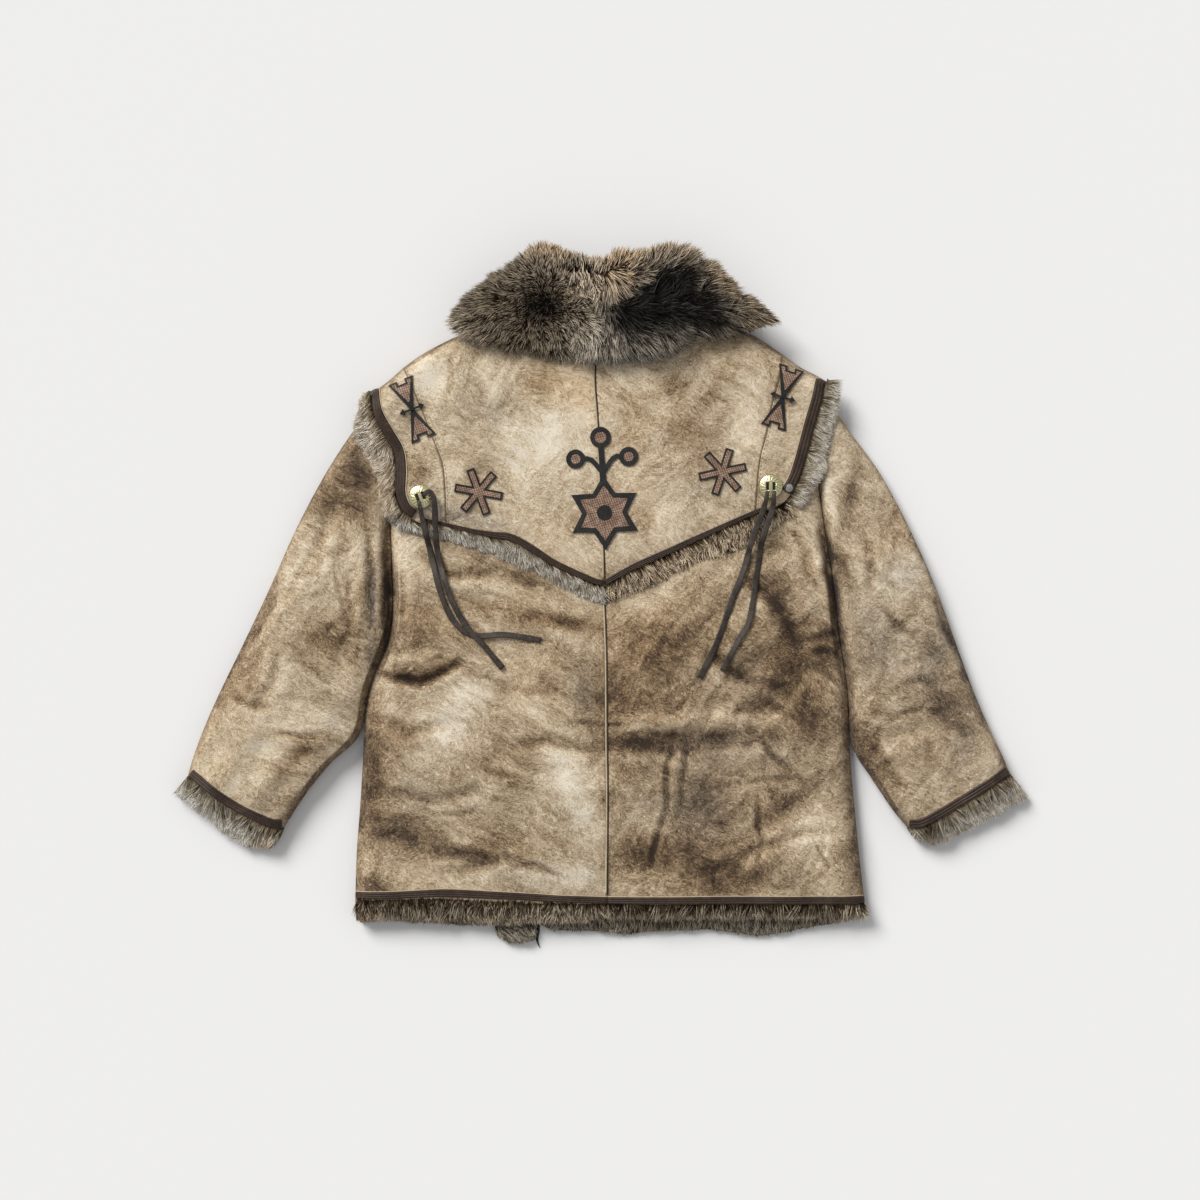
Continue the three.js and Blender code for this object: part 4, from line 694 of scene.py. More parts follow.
def softened(node, levels, crease=1.0, sharp=0.8):
    """A finer copy of a node's solid, as a new mesh."""
    form = node_form(node)
    bmesh.ops.join_triangles(
        form, faces=form.faces, angle_face_threshold=0.7, angle_shape_threshold=2.4
    )
    hardness = form.edges.layers.float.new("crease_edge")
    for edge in form.edges:
        if len(edge.link_faces) == 2 and edge.calc_face_angle() > sharp:
            edge[hardness] = crease
    rough = node + "_rough"
    holder = bpy.data.objects.new(rough, mesh_of(form, rough))
    bpy.context.collection.objects.link(holder)
    subdivide = holder.modifiers.new("subdivide", "SUBSURF")
    subdivide.levels = levels
    depsgraph = bpy.context.evaluated_depsgraph_get()
    fine = bpy.data.meshes.new_from_object(holder.evaluated_get(depsgraph))
    bpy.data.objects.remove(holder)
    fine.shade_smooth()
    return fine


def tree_of(*meshes):
    """A search tree over some meshes, to find what lies below a point."""
    points, faces = [], []
    for mesh in meshes:
        first = len(points)
        points += [tuple(point) for point in points_of(mesh)]
        faces += [tuple(first + k for k in face.vertices) for face in mesh.polygons]
    return BVHTree.FromPolygons(points, faces)


def top_of(tree, x, y, otherwise=0.0):
    hit = tree.ray_cast(Vector((x, y, 1.0)), Vector((0, 0, -1)))
    return otherwise if hit[0] is None else hit[0].z


# How much painted shade darkens the hide where its face turns away from up, on the rounded rims.
RIM_PAINTED_SHADE = 0.3
BACK_FLOOR, YOKE_FLOOR, NO_FOLDS = 14 * MM, 28 * MM, 1.0
panels = {}


def suede_panel(node, levels, floor):
    """A hide panel: softened, folded above its floor and stained, with painted shade on its rims and in its
    creases.
    """
    mesh = softened(node, levels)
    points = points_of(mesh)
    x, y = points[:, 0], points[:, 1]
    level = normals_of(mesh)[:, 2]
    up = smooth((level - 0.05) * 3) * smooth((points[:, 2] - floor) / (9 * MM))
    points[:, 2] += relief(x, y) * up
    mesh.vertices.foreach_set("co", points.ravel())
    mesh.update()
    # Painted shade: darker on the rounded rims and in the creases, and paler on the creases' ridges.
    darker = smooth((0.95 - level) * 1.4) * RIM_PAINTED_SHADE + crease_shade(x, y)
    paint(mesh, "stain", np.clip(clouds_at(x, y) + darker[:, None] * np.array([1, 0, 0]), 0, 1))
    piece = add_piece("hide_" + node, mesh, SUEDE)
    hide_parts(node)
    panels[node] = piece


for side in ("left", "right"):
    suede_panel(f"back_{side}", 3, BACK_FLOOR)
    suede_panel(f"sleeve_{side}_upper", 3, BACK_FLOOR)
    suede_panel(f"sleeve_{side}_under", 1, NO_FOLDS)
    suede_panel(f"front_{side}", 1, NO_FOLDS)
    suede_panel(f"yoke_{side}", 3, YOKE_FLOOR)
    suede_panel(f"shoulder_{side}", 3, YOKE_FLOOR)
print("panels:", {name: len(piece.data.polygons) for name, piece in panels.items()})

# %% [markdown]
# A strap, a binding or a lace is a cross-section carried along a line. Blender can bevel a curve, but
# these straps have to lie on a wrinkled hide, so their heights come from rays cast down on it. A line
# is drawn smoothly through a few measured points, in millimetres.

# %% Lines, rings and resting heights
hides = tree_of(*(piece.data for piece in panels.values()))


def unit(vectors):
    return vectors / (np.linalg.norm(vectors, axis=1)[:, None] + 1e-12)


def resting(x, y, reach=1.6 * MM):
    """The hide's height at a place and close round it, for what bridges its wrinkles."""
    around = ((0, 0), (reach, 0), (-reach, 0), (0, reach), (0, -reach))
    return max(top_of(hides, x + dx, y + dy) for dx, dy in around)


def spline(points, step):
    """A smooth line through points in millimetres, read at even steps, in metres."""
    p = np.array(points, dtype=float)
    p = np.vstack([2 * p[0] - p[1], p, 2 * p[-1] - p[-2]])
    t = np.linspace(0, 1, 24, endpoint=False)[:, None]
    spans = [
        0.5 * (2 * b + (c - a) * t + (2 * a - 5 * b + 4 * c - d) * t**2 + (3 * b - a - 3 * c + d) * t**3)
        for a, b, c, d in zip(p[:-3], p[1:-2], p[2:-1], p[3:])
    ]
    dense = np.vstack([*spans, p[-2][None]])
    run = np.r_[0, np.cumsum(np.linalg.norm(np.diff(dense, axis=0), axis=1))]
    at = np.linspace(0, run[-1], max(2, int(round(run[-1] / step)) + 1))
    return np.column_stack([np.interp(at, run, dense[:, k]) for k in range(p.shape[1])]) * MM


def sideways(line):
    """The unit vector to the left of a line, at each of its points in plan."""
    ahead = unit(np.gradient(line[:, :2], axis=0))
    return np.column_stack([-ahead[:, 1], ahead[:, 0]])


def settled(heights):
    """Heights along a strap, with the hide's small bumps evened out."""
    padded = np.pad(heights, 2, mode="edge")
    even = np.convolve(padded, np.array([1, 2, 3, 2, 1]) / 9, mode="valid")
    return np.maximum(even, np.array(heights) - 0.4 * MM)


def swept(name, rings):
    """A closed solid through a row of rings."""
    rows, columns = rings.shape[:2]
    index = np.arange(rows * columns).reshape(rows, columns)
    faces = []
    for a, b in zip(index[:-1], index[1:]):
        for k in range(columns):
            faces.append((a[k], a[(k + 1) % columns], b[(k + 1) % columns], b[k]))
    faces += [tuple(index[0][::-1]), tuple(index[-1])]
    form = form_of(rings.reshape(-1, 3), faces)
    bmesh.ops.recalc_face_normals(form, faces=form.faces)
    mesh = mesh_of(form, name)
    mesh.shade_smooth()
    return mesh


print("the hide's highest point is", round(max(points_of(panels["yoke_left"].data)[:, 2]) / MM, 1), "mm")

# %% [markdown]
# The bindings are narrow strips of brown leather, folded over the raw edge and sewn along both sides,
# so each has a plump middle between two lines of stitches. Beside the yoke's and the hem's bindings a
# cream line shows, where the cut edge of the hide is turned up. The same cream edge runs down the
# centre seam, with the seam's dark shadow next to it.

# %% Leather finishes
def leather_finish(name, dark, light, roughness, bump):
    recipe = Recipe(name)
    pore = recipe.noise(900, 3, 0.6)
    scuff = recipe.noise(70, 6, 0.7, 0.4)
    wear = recipe.noise(240, 5, 0.75).above(0.5, 0.72)
    tone = scuff * 0.8 + pore * 0.3 + wear * 0.25 - 0.2
    colour = recipe.ramp(tone, [(0.15, tint(*dark)), (0.75, tint(*light))])
    return recipe.finish(
        base_color=colour, roughness=(scuff - 0.5) * 0.3 + roughness, bump=pore * 0.5 + scuff,
        depth=bump, specular_ior_level=0.3,
    )


BINDING = leather_finish("binding_leather", (30, 21, 16), (84, 64, 50), 0.5, 0.0006)
BLACK = leather_finish("black_leather", (9, 9, 9), (46, 44, 42), 0.6, 0.0006)
LACE = leather_finish("lace_leather", (29, 25, 22), (90, 78, 68), 0.55, 0.0008)
CREAM = leather_finish("cream_edge", (158, 140, 112), (214, 199, 170), 0.8, 0.0006)
SHADOW = leather_finish("seam_shadow", (42, 32, 23), (84, 67, 49), 0.9, 0.0004)
FAINT = leather_finish("faint_seam", (104, 84, 60), (150, 128, 98), 0.9, 0.0004)
THREAD = leather_finish("thread", (52, 43, 36), (112, 97, 84), 0.7, 0.0003)

# %% [markdown]
# Each strap runs along the edge that was measured for it, and its width changes as the real one's
# does. Its section is ribbed, because the two rows of thread pull it down. The threads themselves are
# small beads along the same line.

# %% Straps
PLUMP = [
    # across, height
    (0.0, 0.0), (0.04, 0.66), (0.16, 0.96), (0.29, 0.86), (0.35, 0.46), (0.41, 0.88), (0.5, 1.0),
    (0.59, 0.88), (0.65, 0.46), (0.71, 0.86), (0.84, 0.96), (0.96, 0.66), (1.0, 0.0),
]
ROUND = [(0.0, 0.0), (0.15, 0.8), (0.5, 1.0), (0.85, 0.8), (1.0, 0.0)]


def spread(values, count):
    """One number, or several at even steps, read at so many places along a line."""
    values = np.atleast_1d(values)
    return np.interp(np.linspace(0, 1, count), np.linspace(0, 1, len(values)), values)


def strap(name, points, width, offset, thick, finish, profile=PLUMP, lift=0.3, step=4):
    """A strip of leather laid along a line, so far to its left, on the fine hides."""
    line = spline(points, step)
    left = sideways(line)
    across, height = (np.array(column) for column in zip(*profile))
    out = spread(offset, len(line))[:, None] + across[None] * spread(width, len(line))[:, None]
    plan = line[:, None] + left[:, None] * (out * MM)[:, :, None]
    middle = len(profile) // 2
    base = [settled([resting(*place) for place in plan[:, k]]) for k in (0, middle, -1)]
    z = np.array([np.interp(across, (0, 0.5, 1), row) for row in np.array(base).T])
    rings = np.dstack([plan, z + (lift + height * thick) * MM])
    return add_piece(name, swept(name, rings), finish)


def stitches(name, lines, offset, on, finish, long=3.6, apart=5.4, wide=0.8, high=0.5):
    """Small threads in a row along each line, each an eight-sided bead."""
    tree = tree_of(*(piece.data for piece in on))
    form = bmesh.new()
    rows = [spline(points, apart) for points in lines]
    places = np.vstack([row[:, :2] for row in rows])
    lefts = np.vstack([sideways(row) for row in rows])
    offsets = np.concatenate([spread(offset, len(row)) for row in rows])
    for place, side, out in zip(places, lefts, offsets):
        x, y = place + side * out * MM
        z = top_of(tree, x, y)
        ahead = Vector((side[1], -side[0], 0)) * long / 2 * MM
        aside = Vector((side[0], side[1], 0)) * wide / 2 * MM
        core = Vector((x, y, z + 0.1 * MM))
        ends = [form.verts.new(core + ahead), form.verts.new(core - ahead)]
        up = Vector((0, 0, high * MM))
        waist = [form.verts.new(point) for point in (core + aside, core + up, core - aside, core - up)]
        for k in range(4):
            form.faces.new((ends[0], waist[k], waist[(k + 1) % 4]))
            form.faces.new((ends[1], waist[(k + 1) % 4], waist[k]))
    bmesh.ops.recalc_face_normals(form, faces=form.faces)
    return add_piece(name, mesh_of(form, name), finish)


STRAPS = [
    # node, widths along it, and the edge that it runs along, so that the strap is on its left
    ("hem_binding_left", (8, 8.6, 9.4, 8.6, 8, 8), [
        (-307, -380), (-262, -379.4), (-225, -378), (-198, -377), (-160, -378.6), (-110, -381),
        (-50, -384), (9, -386),
    ]),
    ("hem_binding_right", (8, 8.5, 9), [
        (9.2, -386), (90, -386), (170, -386), (250, -386), (330.5, -386),
    ]),
    ("cuff_binding_left", 11, [(-517, -227), (-467, -264), (-417, -289), (-399, -291.8)]),
    ("cuff_binding_right", 11, [(387, -291.8), (408, -288), (462, -257), (513, -224)]),
    ("yoke_binding_left", (10, 13, 13, 12), [
        (-288, 258), (-284, 228), (-272, 202), (-259, 179), (-256, 157), (-256, 126), (-248, 106),
        (-236, 96),
    ]),
    ("yoke_binding_right", (12, 13, 13, 12), [
        (237, 126), (247, 143), (256, 168), (266, 206), (276, 242), (281.5, 269),
    ]),
    ("yoke_binding_edge_left", (3.6, 4, 5, 9, 9, 8, 7.5, 7), [
        (-224, 93), (-190, 85.5), (-136, 72), (-111, 67), (-84, 52), (-58, 36), (-13, 16), (3.5, 11.5),
    ]),
    ("yoke_binding_edge_right", (7, 7, 6.6, 6, 5.4, 5), [
        (7, 12), (44, 33), (88, 53), (133, 74), (184, 97), (208, 107),
    ]),
]
CREAM_EDGES = ("hem_binding_left", "hem_binding_right", "yoke_binding_left", "yoke_binding_right")
EDGES = {node: edge for node, _, edge in STRAPS}
STITCH_ROWS = {"outer": 0.35, "inner": 0.65}
INSET = 0.4
for node, width, edge in STRAPS:
    piece = strap(node.replace("_binding", "_strap"), edge, width, INSET, 2.0, BINDING)
    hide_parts(node)
    for row, share in STITCH_ROWS.items():
        out = INSET + share * np.atleast_1d(width)
        stitches(f"{node}_stitches_{row}", [edge], out, [piece], THREAD)
    if node in CREAM_EDGES:
        out = np.atleast_1d(width) + 0.5
        strap(f"{node}_raw_edge", edge, 1.5, out, 0.9, CREAM, ROUND)
print("straps:", len(STRAPS))

# %% [markdown]
# The seams are thin strips too: the pale turned-up edge down the middle of the back and the yoke, its
# shadow beside it, and a faint line with stitches where each shoulder piece meets the yoke.

# %% Seams
CENTRE_SEAM = [(8, -374), (9, -256), (8.2, -181), (7.6, -84), (6.6, -46), (5, -6)]
YOKE_SEAM = [(4.6, 22), (4, 56), (0.4, 130), (-3, 213), (-6.6, 260), (-7, 288)]
SHOULDER_SEAMS = {
    "left": [(-246, 284), (-232, 253), (-208, 193), (-196, 157), (-193, 92)],
    "right": [(227, 300), (223, 272), (214, 242), (208, 207), (198, 168), (193, 108)],
}
for name, seam in (("back", CENTRE_SEAM), ("yoke", YOKE_SEAM)):
    strap(f"{name}_seam_edge", seam, 2.2, 0.2, 1.0, CREAM, ROUND)
    strap(f"{name}_seam_shadow", seam, 1.3, -1.4, 0.35, SHADOW, ROUND)
for side, seam in SHOULDER_SEAMS.items():
    strap(f"shoulder_{side}_seam", seam, 0.9, -0.4, 0.4, FAINT, ROUND)
    under = [panels[f"yoke_{side}"], panels[f"shoulder_{side}"]]
    stitches(f"shoulder_{side}_stitches", [seam], 3, under, FAINT)
print("seams:", 2 + len(SHOULDER_SEAMS))

# %% [markdown]
# The applied shapes are cut from thin leather: a black outline and a brown inlay that is scored with
# two sets of fine lines. Their plans are the frame's own solids. Each is cut finer, so that it bends,
# and laid on the fine hide: every point keeps its place in plan and takes the hide's height.

# %% Applied leather
def inlay_finish():
    recipe = Recipe("scored_inlay")
    x = recipe.node("ShaderNodeSeparateXYZ", {}, {0: recipe.place}, output=0)
    y = recipe.node("ShaderNodeSeparateXYZ", {}, {0: recipe.place}, output=1)
    wobble = recipe.noise(160, 3, 0.6) * 1.6
    rise = ((x * 0.94 + y * 0.34) * 2250 + wobble).maths("SINE").above(0.35, 0.95)
    fall = ((x * 0.26 - y * 0.97) * 2100 + wobble).maths("SINE").above(0.45, 0.98)
    scored = (rise + fall * 0.8).maths("MINIMUM", 1.0)
    scuff = recipe.noise(130, 5, 0.7)
    colour = recipe.ramp(scuff, [
        (0.3, tint(116, 88, 70)), (0.5, tint(156, 124, 102)), (0.7, tint(192, 162, 138)),
    ])
    finished = recipe.mix(scored * 0.66, colour, tint(54, 40, 32))
    return recipe.finish(
        base_color=finished, roughness=0.72, bump=scuff * 0.5 - scored * 0.8, depth=0.0008
    )


INLAY = inlay_finish()
APPLIED_GRID = 6 * MM
APPLIED = [
    # node, finish, slot, thickness, lift
    ("star_outline", BLACK, "black_leather", 1.7, 0.3),
    ("star_inlay", INLAY, "inlay", 1.2, 0.3),
    ("star_hub", BLACK, "black_leather", 1.7, 0.3),
    *((f"ring_inlay_{place}", INLAY, "inlay", 1.2, 0.3) for place in ("top", "left", "right")),
]
for side in ("left", "right"):
    APPLIED += [
        (f"asterisk_outline_{side}", BLACK, "black_leather", 1.6, 0.3),
        (f"asterisk_inlay_{side}", INLAY, "inlay", 1.2, 0.3),
        (f"hourglass_outline_{side}", BLACK, "black_leather", 1.6, 0.3),
        (f"hourglass_inlay_upper_{side}", INLAY, "inlay", 1.2, 0.3),
        (f"hourglass_inlay_lower_{side}", INLAY, "inlay", 1.2, 0.3),
        (f"hourglass_arrow_{side}", BLACK, "black_leather", 1.3, 2.0),
    ]


def relaid(node, finish, slot, thick, lift):
    """A thin solid of the frame, cut on a grid and laid on the fine hide."""
    form = node_form(node)
    low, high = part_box(node)
    for axis in (0, 1):
        for cut in np.arange(low[axis] + APPLIED_GRID, high[axis], APPLIED_GRID):
            place, facing = Vector(), Vector()
            place[axis], facing[axis] = cut, 1
            everything = form.verts[:] + form.edges[:] + form.faces[:]
            bmesh.ops.bisect_plane(form, geom=everything, dist=1e-6, plane_co=place, plane_no=facing)
    form.normal_update()
    for point in form.verts:
        top = thick if point.normal.z > 0 else 0
        point.co.z = resting(point.co.x, point.co.y, 2.4 * MM) + (lift + top) * MM
    name = "applied_" + node
    piece = add_piece(name, mesh_of(form, name), finish)
    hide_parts(node)
    return piece


applied = {row[0]: relaid(*row) for row in APPLIED}

STAR = {"x": 5, "y": 103, "radius": 41, "valley": 25, "tilt": 92, "points": 6}
CIRCLES = [(0, 197, 10.2), (-31, 170, 9.2), (35, 173, 9.2)]


def around(x, y, radius, degrees):
    return x + radius * np.cos(np.radians(degrees)), y + radius * np.sin(np.radians(degrees))


def star_lines():
    """The star's lines: the middle of its outline, edge by edge, and its spokes."""
    x, y, step = STAR["x"], STAR["y"], 180 / STAR["points"]
    reach = (STAR["radius"], STAR["valley"])
    turns = [STAR["tilt"] + step * k for k in range(2 * STAR["points"] + 1)]
    corners = [around(x, y, reach[k % 2], turn) for k, turn in enumerate(turns)]
    spokes = [
        (around(x, y, 8, turn), around(x, y, reach[k % 2] - 6, turn)) for k, turn in enumerate(turns[:-1])
    ]
    return list(zip(corners[:-1], corners[1:])), spokes


edge_lines, spoke_lines = star_lines()
ring_lines = [[around(x, y, radius, degrees) for degrees in range(0, 360, 30)] for x, y, radius in CIRCLES]
stitches(
    "star_stitches", edge_lines + ring_lines, 0, [applied["star_outline"]], THREAD,
    long=2.0, apart=3.0, wide=0.7, high=0.4,
)
stitches(
    "star_spokes", spoke_lines, 0, [applied["star_inlay"]], SHADOW,
    long=3.4, apart=2.8, wide=0.7, high=0.25,
)
print("applied pieces:", len(applied))

# %% [markdown]
# A concho is a stamped metal disc. Seen close, it is a low dome with a beaded rim, leaves engraved
# round it, and two slots for the lace. It is built as rings of points whose height is a formula of
# the distance from the middle and the angle, so the engraving is real shape. Old brass is yellow
# where it is rubbed and dark green-brown in the hollows, and pointing the same numbers at the colour
# puts the tarnish exactly there.

# %% Conchos
CONCHOS = {"left": (-224, 123, 20), "right": (212, 136, 0)}
CONCHO = {"radius": 15, "dome": 3.1, "wall": 1.3}
SLOTS = {"half_width": 1.5, "half_length": 4.5, "from_middle": 4}
LEAVES = 9
RINGS_OUT = 26
SPOKES = 90


def concho_finish():
    recipe = Recipe("old_brass")
    hollow, edge, slot_shade = recipe.channels("engraving")
    tarnish = recipe.noise(260, 4, 0.6)
    depth = hollow * 0.9 + (tarnish - 0.5) * 0.7
    colour = recipe.ramp(depth, [
        (0.0, tint(240, 233, 192)), (0.35, tint(210, 199, 138)), (0.65, tint(104, 97, 62)),
        (1.0, tint(34, 32, 24)),
    ])
    # Painted highlight: the metal turns pale silver towards the rim.
    rim_highlighted = recipe.mix(edge * 0.6, colour, tint(190, 190, 178))
    # Painted shade: the slots are painted near black, for the dark inside them.
    finished = recipe.mix(slot_shade, rim_highlighted, tint(16, 14, 12))
    return recipe.finish(
        base_color=finished, metallic=1 - slot_shade, roughness=tarnish * 0.35 + 0.14,
        bump=tarnish, depth=0.0002,
    )


OLD_BRASS = concho_finish()


def engraved(share, angle, x, y):
    """A concho's height in millimetres, and how hollow, how near the rim and how far in a slot it is."""
    height = CONCHO["wall"] + CONCHO["dome"] * (1 - share**2) - CONCHO["wall"] * smooth((share - 0.93) / 0.07)
    swirl = np.cos(LEAVES * angle + 5 * share)
    band = smooth((share - 0.34) / 0.1) * smooth((0.86 - share) / 0.08)
    leaf = smooth(np.abs(swirl) * 1.6) * band
    bead = smooth(np.cos(30 * angle) + 0.4) * np.exp(-(((share - 0.92) / 0.035) ** 2))
    height += 0.34 * leaf + 0.4 * bead - 0.3 * np.exp(-(((share - 0.86) / 0.02) ** 2))
    from_slot = np.maximum(
        (np.abs(np.abs(x) - SLOTS["from_middle"]) - SLOTS["half_width"]) / 0.6,
        (np.abs(y) - SLOTS["half_length"]) / 0.6,
    )
    slot = 1 - smooth(from_slot)
    height -= 2.0 * slot
    return height, np.dstack([(1 - leaf) * band + 0.2 * (1 - band), smooth((share - 0.9) / 0.06), slot])


def concho_faces():
    """Faces between a concho's rings, down its wall and across its underside."""
    index = np.arange(RINGS_OUT * SPOKES).reshape(RINGS_OUT, SPOKES)
    under = RINGS_OUT * SPOKES + np.arange(SPOKES)
    faces = [tuple(under[::-1])]
    for k in range(SPOKES):
        n = (k + 1) % SPOKES
        faces.append((index[-1, k], under[k], under[n], index[-1, n]))
        for a, b in zip(index[:-1], index[1:]):
            faces.append((a[k], b[k], b[n], a[n]))
    return faces


def concho(side):
    cx, cy, turn = CONCHOS[side]
    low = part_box(f"concho_{side}")[0][2]
    share = np.linspace(0, 1, RINGS_OUT)[:, None] * np.ones((1, SPOKES))
    angle = np.linspace(0, 2 * np.pi, SPOKES, endpoint=False)[None] * np.ones((RINGS_OUT, 1))
    radius = share * CONCHO["radius"]
    x, y = radius * np.cos(angle), radius * np.sin(angle)
    height, marks = engraved(share, angle, x, y)
    cos, sin = np.cos(np.radians(turn)), np.sin(np.radians(turn))
    upper = np.dstack([
        (cx + x * cos - y * sin) * MM, (cy + x * sin + y * cos) * MM, low + height * MM,
    ])
    lower = upper[-1].copy()
    lower[:, 2] = low
    points = np.vstack([upper.reshape(-1, 3), lower])
    mesh = mesh_of(form_of(points, concho_faces()), f"concho_disc_{side}")
    mesh.shade_smooth()
    paint(mesh, "engraving", np.vstack([marks.reshape(-1, 3), np.zeros((SPOKES, 3))]))
    merged = bmesh.new()
    merged.from_mesh(mesh)
    bmesh.ops.remove_doubles(merged, verts=merged.verts, dist=1e-6)
    merged.to_mesh(mesh)
    merged.free()
    piece = add_piece(mesh.name, mesh, OLD_BRASS)
    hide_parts(f"concho_{side}")
    return piece


discs = {side: concho(side) for side in CONCHOS}
print("conchos:", {side: len(piece.data.polygons) for side, piece in discs.items()})

# %% [markdown]
# The laces are flat strips of grey-brown leather. Each concho holds one, whose two ends come out of
# its slots, lie over each other and down the back, and end where the maker cut them. Their routes
# follow the frame's, but for the loop round the left concho. They lie as high as what is under them.

# %% Laces
LACE_WIDTH = 8
LACE_THICK = 2.0
PILE_HEIGHT = 39.5
LACES = [
    # name, concho, how far over the other one and down to what height, points
    ("left_long", "left", 2.6, -100, [
        (-220, 124), (-213, 130), (-207, 120), (-206, 98), (-203, 52), (-189, 2), (-169, -36),
        (-146, -62), (-122, -91),
    ]),
    ("left_short", "left", 0.0, 0, [
        (-226, 117), (-221, 92), (-211, 48), (-197, -4), (-180, -36), (-156, -50), (-119, -49),
        (-74, -56),
    ]),
    ("right_long", "right", 0.0, 0, [
        (208, 130), (203, 107), (189, 69), (179, 32), (164, -6), (146, -56), (124, -103),
    ]),
    ("right_short", "right", 2.6, 60, [
        (216, 130), (214, 107), (202, 69), (194, 19), (186, -30), (172, -56), (152, -94),
    ]),
]
LACE_SECTION = [
    # across from -1 to 1, up from -1 to 1
    (-1.0, 0.0), (-0.94, 0.55), (-0.55, 0.9), (0.0, 0.72), (0.55, 0.9), (0.94, 0.55), (1.0, 0.0),
    (0.94, -0.6), (0.0, -0.6), (-0.94, -0.6),
]


def lace_height(x, y, side, over, down_to):
    """The middle of a lace over what lies below it, in metres."""
    cx, cy, _ = CONCHOS[side]
    under = resting(x * MM, y * MM, 4 * MM) / MM
    on_pile = y > 11 + 0.44 * min(abs(x), 215) - 34
    at_concho = np.hypot(x - cx, y - cy) < CONCHO["radius"] + 5
    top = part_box(f"concho_{side}")[1][2] / MM + 0.9
    height = max(under + (2.6 if on_pile else 0.8), top if at_concho else 0, PILE_HEIGHT if on_pile else 0)
    return (height + over * float(smooth((y - down_to) / 30)) + LACE_THICK / 2) * MM


def lace(name, side, over, down_to, points):
    line = spline(points, 4)
    heights = np.array([lace_height(x / MM, y / MM, side, over, down_to) for x, y in line])
    for _ in range(3):
        padded = np.pad(heights, 1, mode="edge")
        heights = np.maximum(heights - 0.25 * MM, (padded[:-2] + padded[1:-1] + padded[2:]) / 3)
    left = sideways(line)
    across, up = np.array(LACE_SECTION).T
    along = np.linspace(0, 1, len(line))
    seed = len(name) + int(abs(points[0][0]))
    tilt = 0.34 * np.sin(along * 9 + seed) * smooth(along * 3) * smooth((1 - along) * 6)
    width = LACE_WIDTH / 2 * (1 - 0.1 * np.sin(along * 23 + seed) ** 2)
    width = width * (1 - 0.35 * np.exp(-((along / 0.08) ** 2)))
    out = across[None] * width[:, None]
    rings = np.empty((len(line), len(across), 3))
    rings[:, :, :2] = line[:, None] + left[:, None] * (out * np.cos(tilt)[:, None])[:, :, None] * MM
    rise = out * np.sin(tilt)[:, None] + up[None] * LACE_THICK / 2
    rings[:, :, 2] = heights[:, None] + (rise + 1.2 * np.abs(np.sin(tilt))[:, None]) * MM
    piece = add_piece(f"lace_{name}", swept(f"lace_{name}", rings), LACE)
    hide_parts(f"thong_{name}")


for row in LACES:
    lace(*row)

# %% [markdown]
# What is left is small: the dark leather edge of the front that hangs out below the hem, and a grey
# metal stud beside the right concho.

# %% Small pieces
CORNER_EDGE = [(-78, -405), (-82, -430), (-77, -444)]
corner = strap(
    "front_corner_strap", CORNER_EDGE, (2.2, 5.2, 0.6), 0, 1.5, BLACK, ROUND, step=3
)
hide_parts("front_corner_edge")

STUD = (235, 134, 5.5)


def stud(x, y, radius, rings=9, spokes=32):
    """The rings of a low cap with a rolled rim, on the binding."""
    base = resting(x * MM, y * MM) / MM + 1.0
    share = np.linspace(1, 0, rings)
    points = []
    for r in share:
        high = base + 2.2 * np.sqrt(max(0.0, 1 - r**2)) + 0.5 * np.exp(-(((r - 0.82) / 0.1) ** 2))
        for angle in np.linspace(0, 2 * np.pi, spokes, endpoint=False):
            points.append((x + r * radius * np.cos(angle), y + r * radius * np.sin(angle), high))
    return np.array(points).reshape(rings, spokes, 3)[:-1] * MM


STEEL = leather_finish("dull_steel", (96, 94, 90), (176, 174, 168), 0.42, 0.0003)
add_piece("stud", swept("stud", stud(*STUD)), STEEL)
print("stud at", STUD[:2])

# %% [markdown]
# Pile is thousands of hairs. Blender's hair system is the usual tool, but its hairs aren't mesh, and
# a 3-D library needs mesh. So each hair here is a narrow tapering blade of five triangles, thick as a
# small lock of real hairs. blades() takes where the hairs stand and which way they go, all in arrays,
# and writes one mesh. It stores how far along its hair each point is, for the pale tips, and the
# coat's colour at the hair's root.

# %% Blades of hair
BLADE_AT = np.array([0.0, 0.35, 0.7, 1.0])
BLADE_WIDTH = np.array([1.0, 0.9, 0.55])
BLADE_FACES = np.array([0, 1, 3, 2, 2, 3, 5, 4, 4, 5, 6])
FACE_STARTS = np.array([0, 4, 8])
BLADE_POINTS = 7
BLADE_ALONG = np.repeat(BLADE_AT, (2, 2, 2, 1))
WAYS_ROUND = 0.9


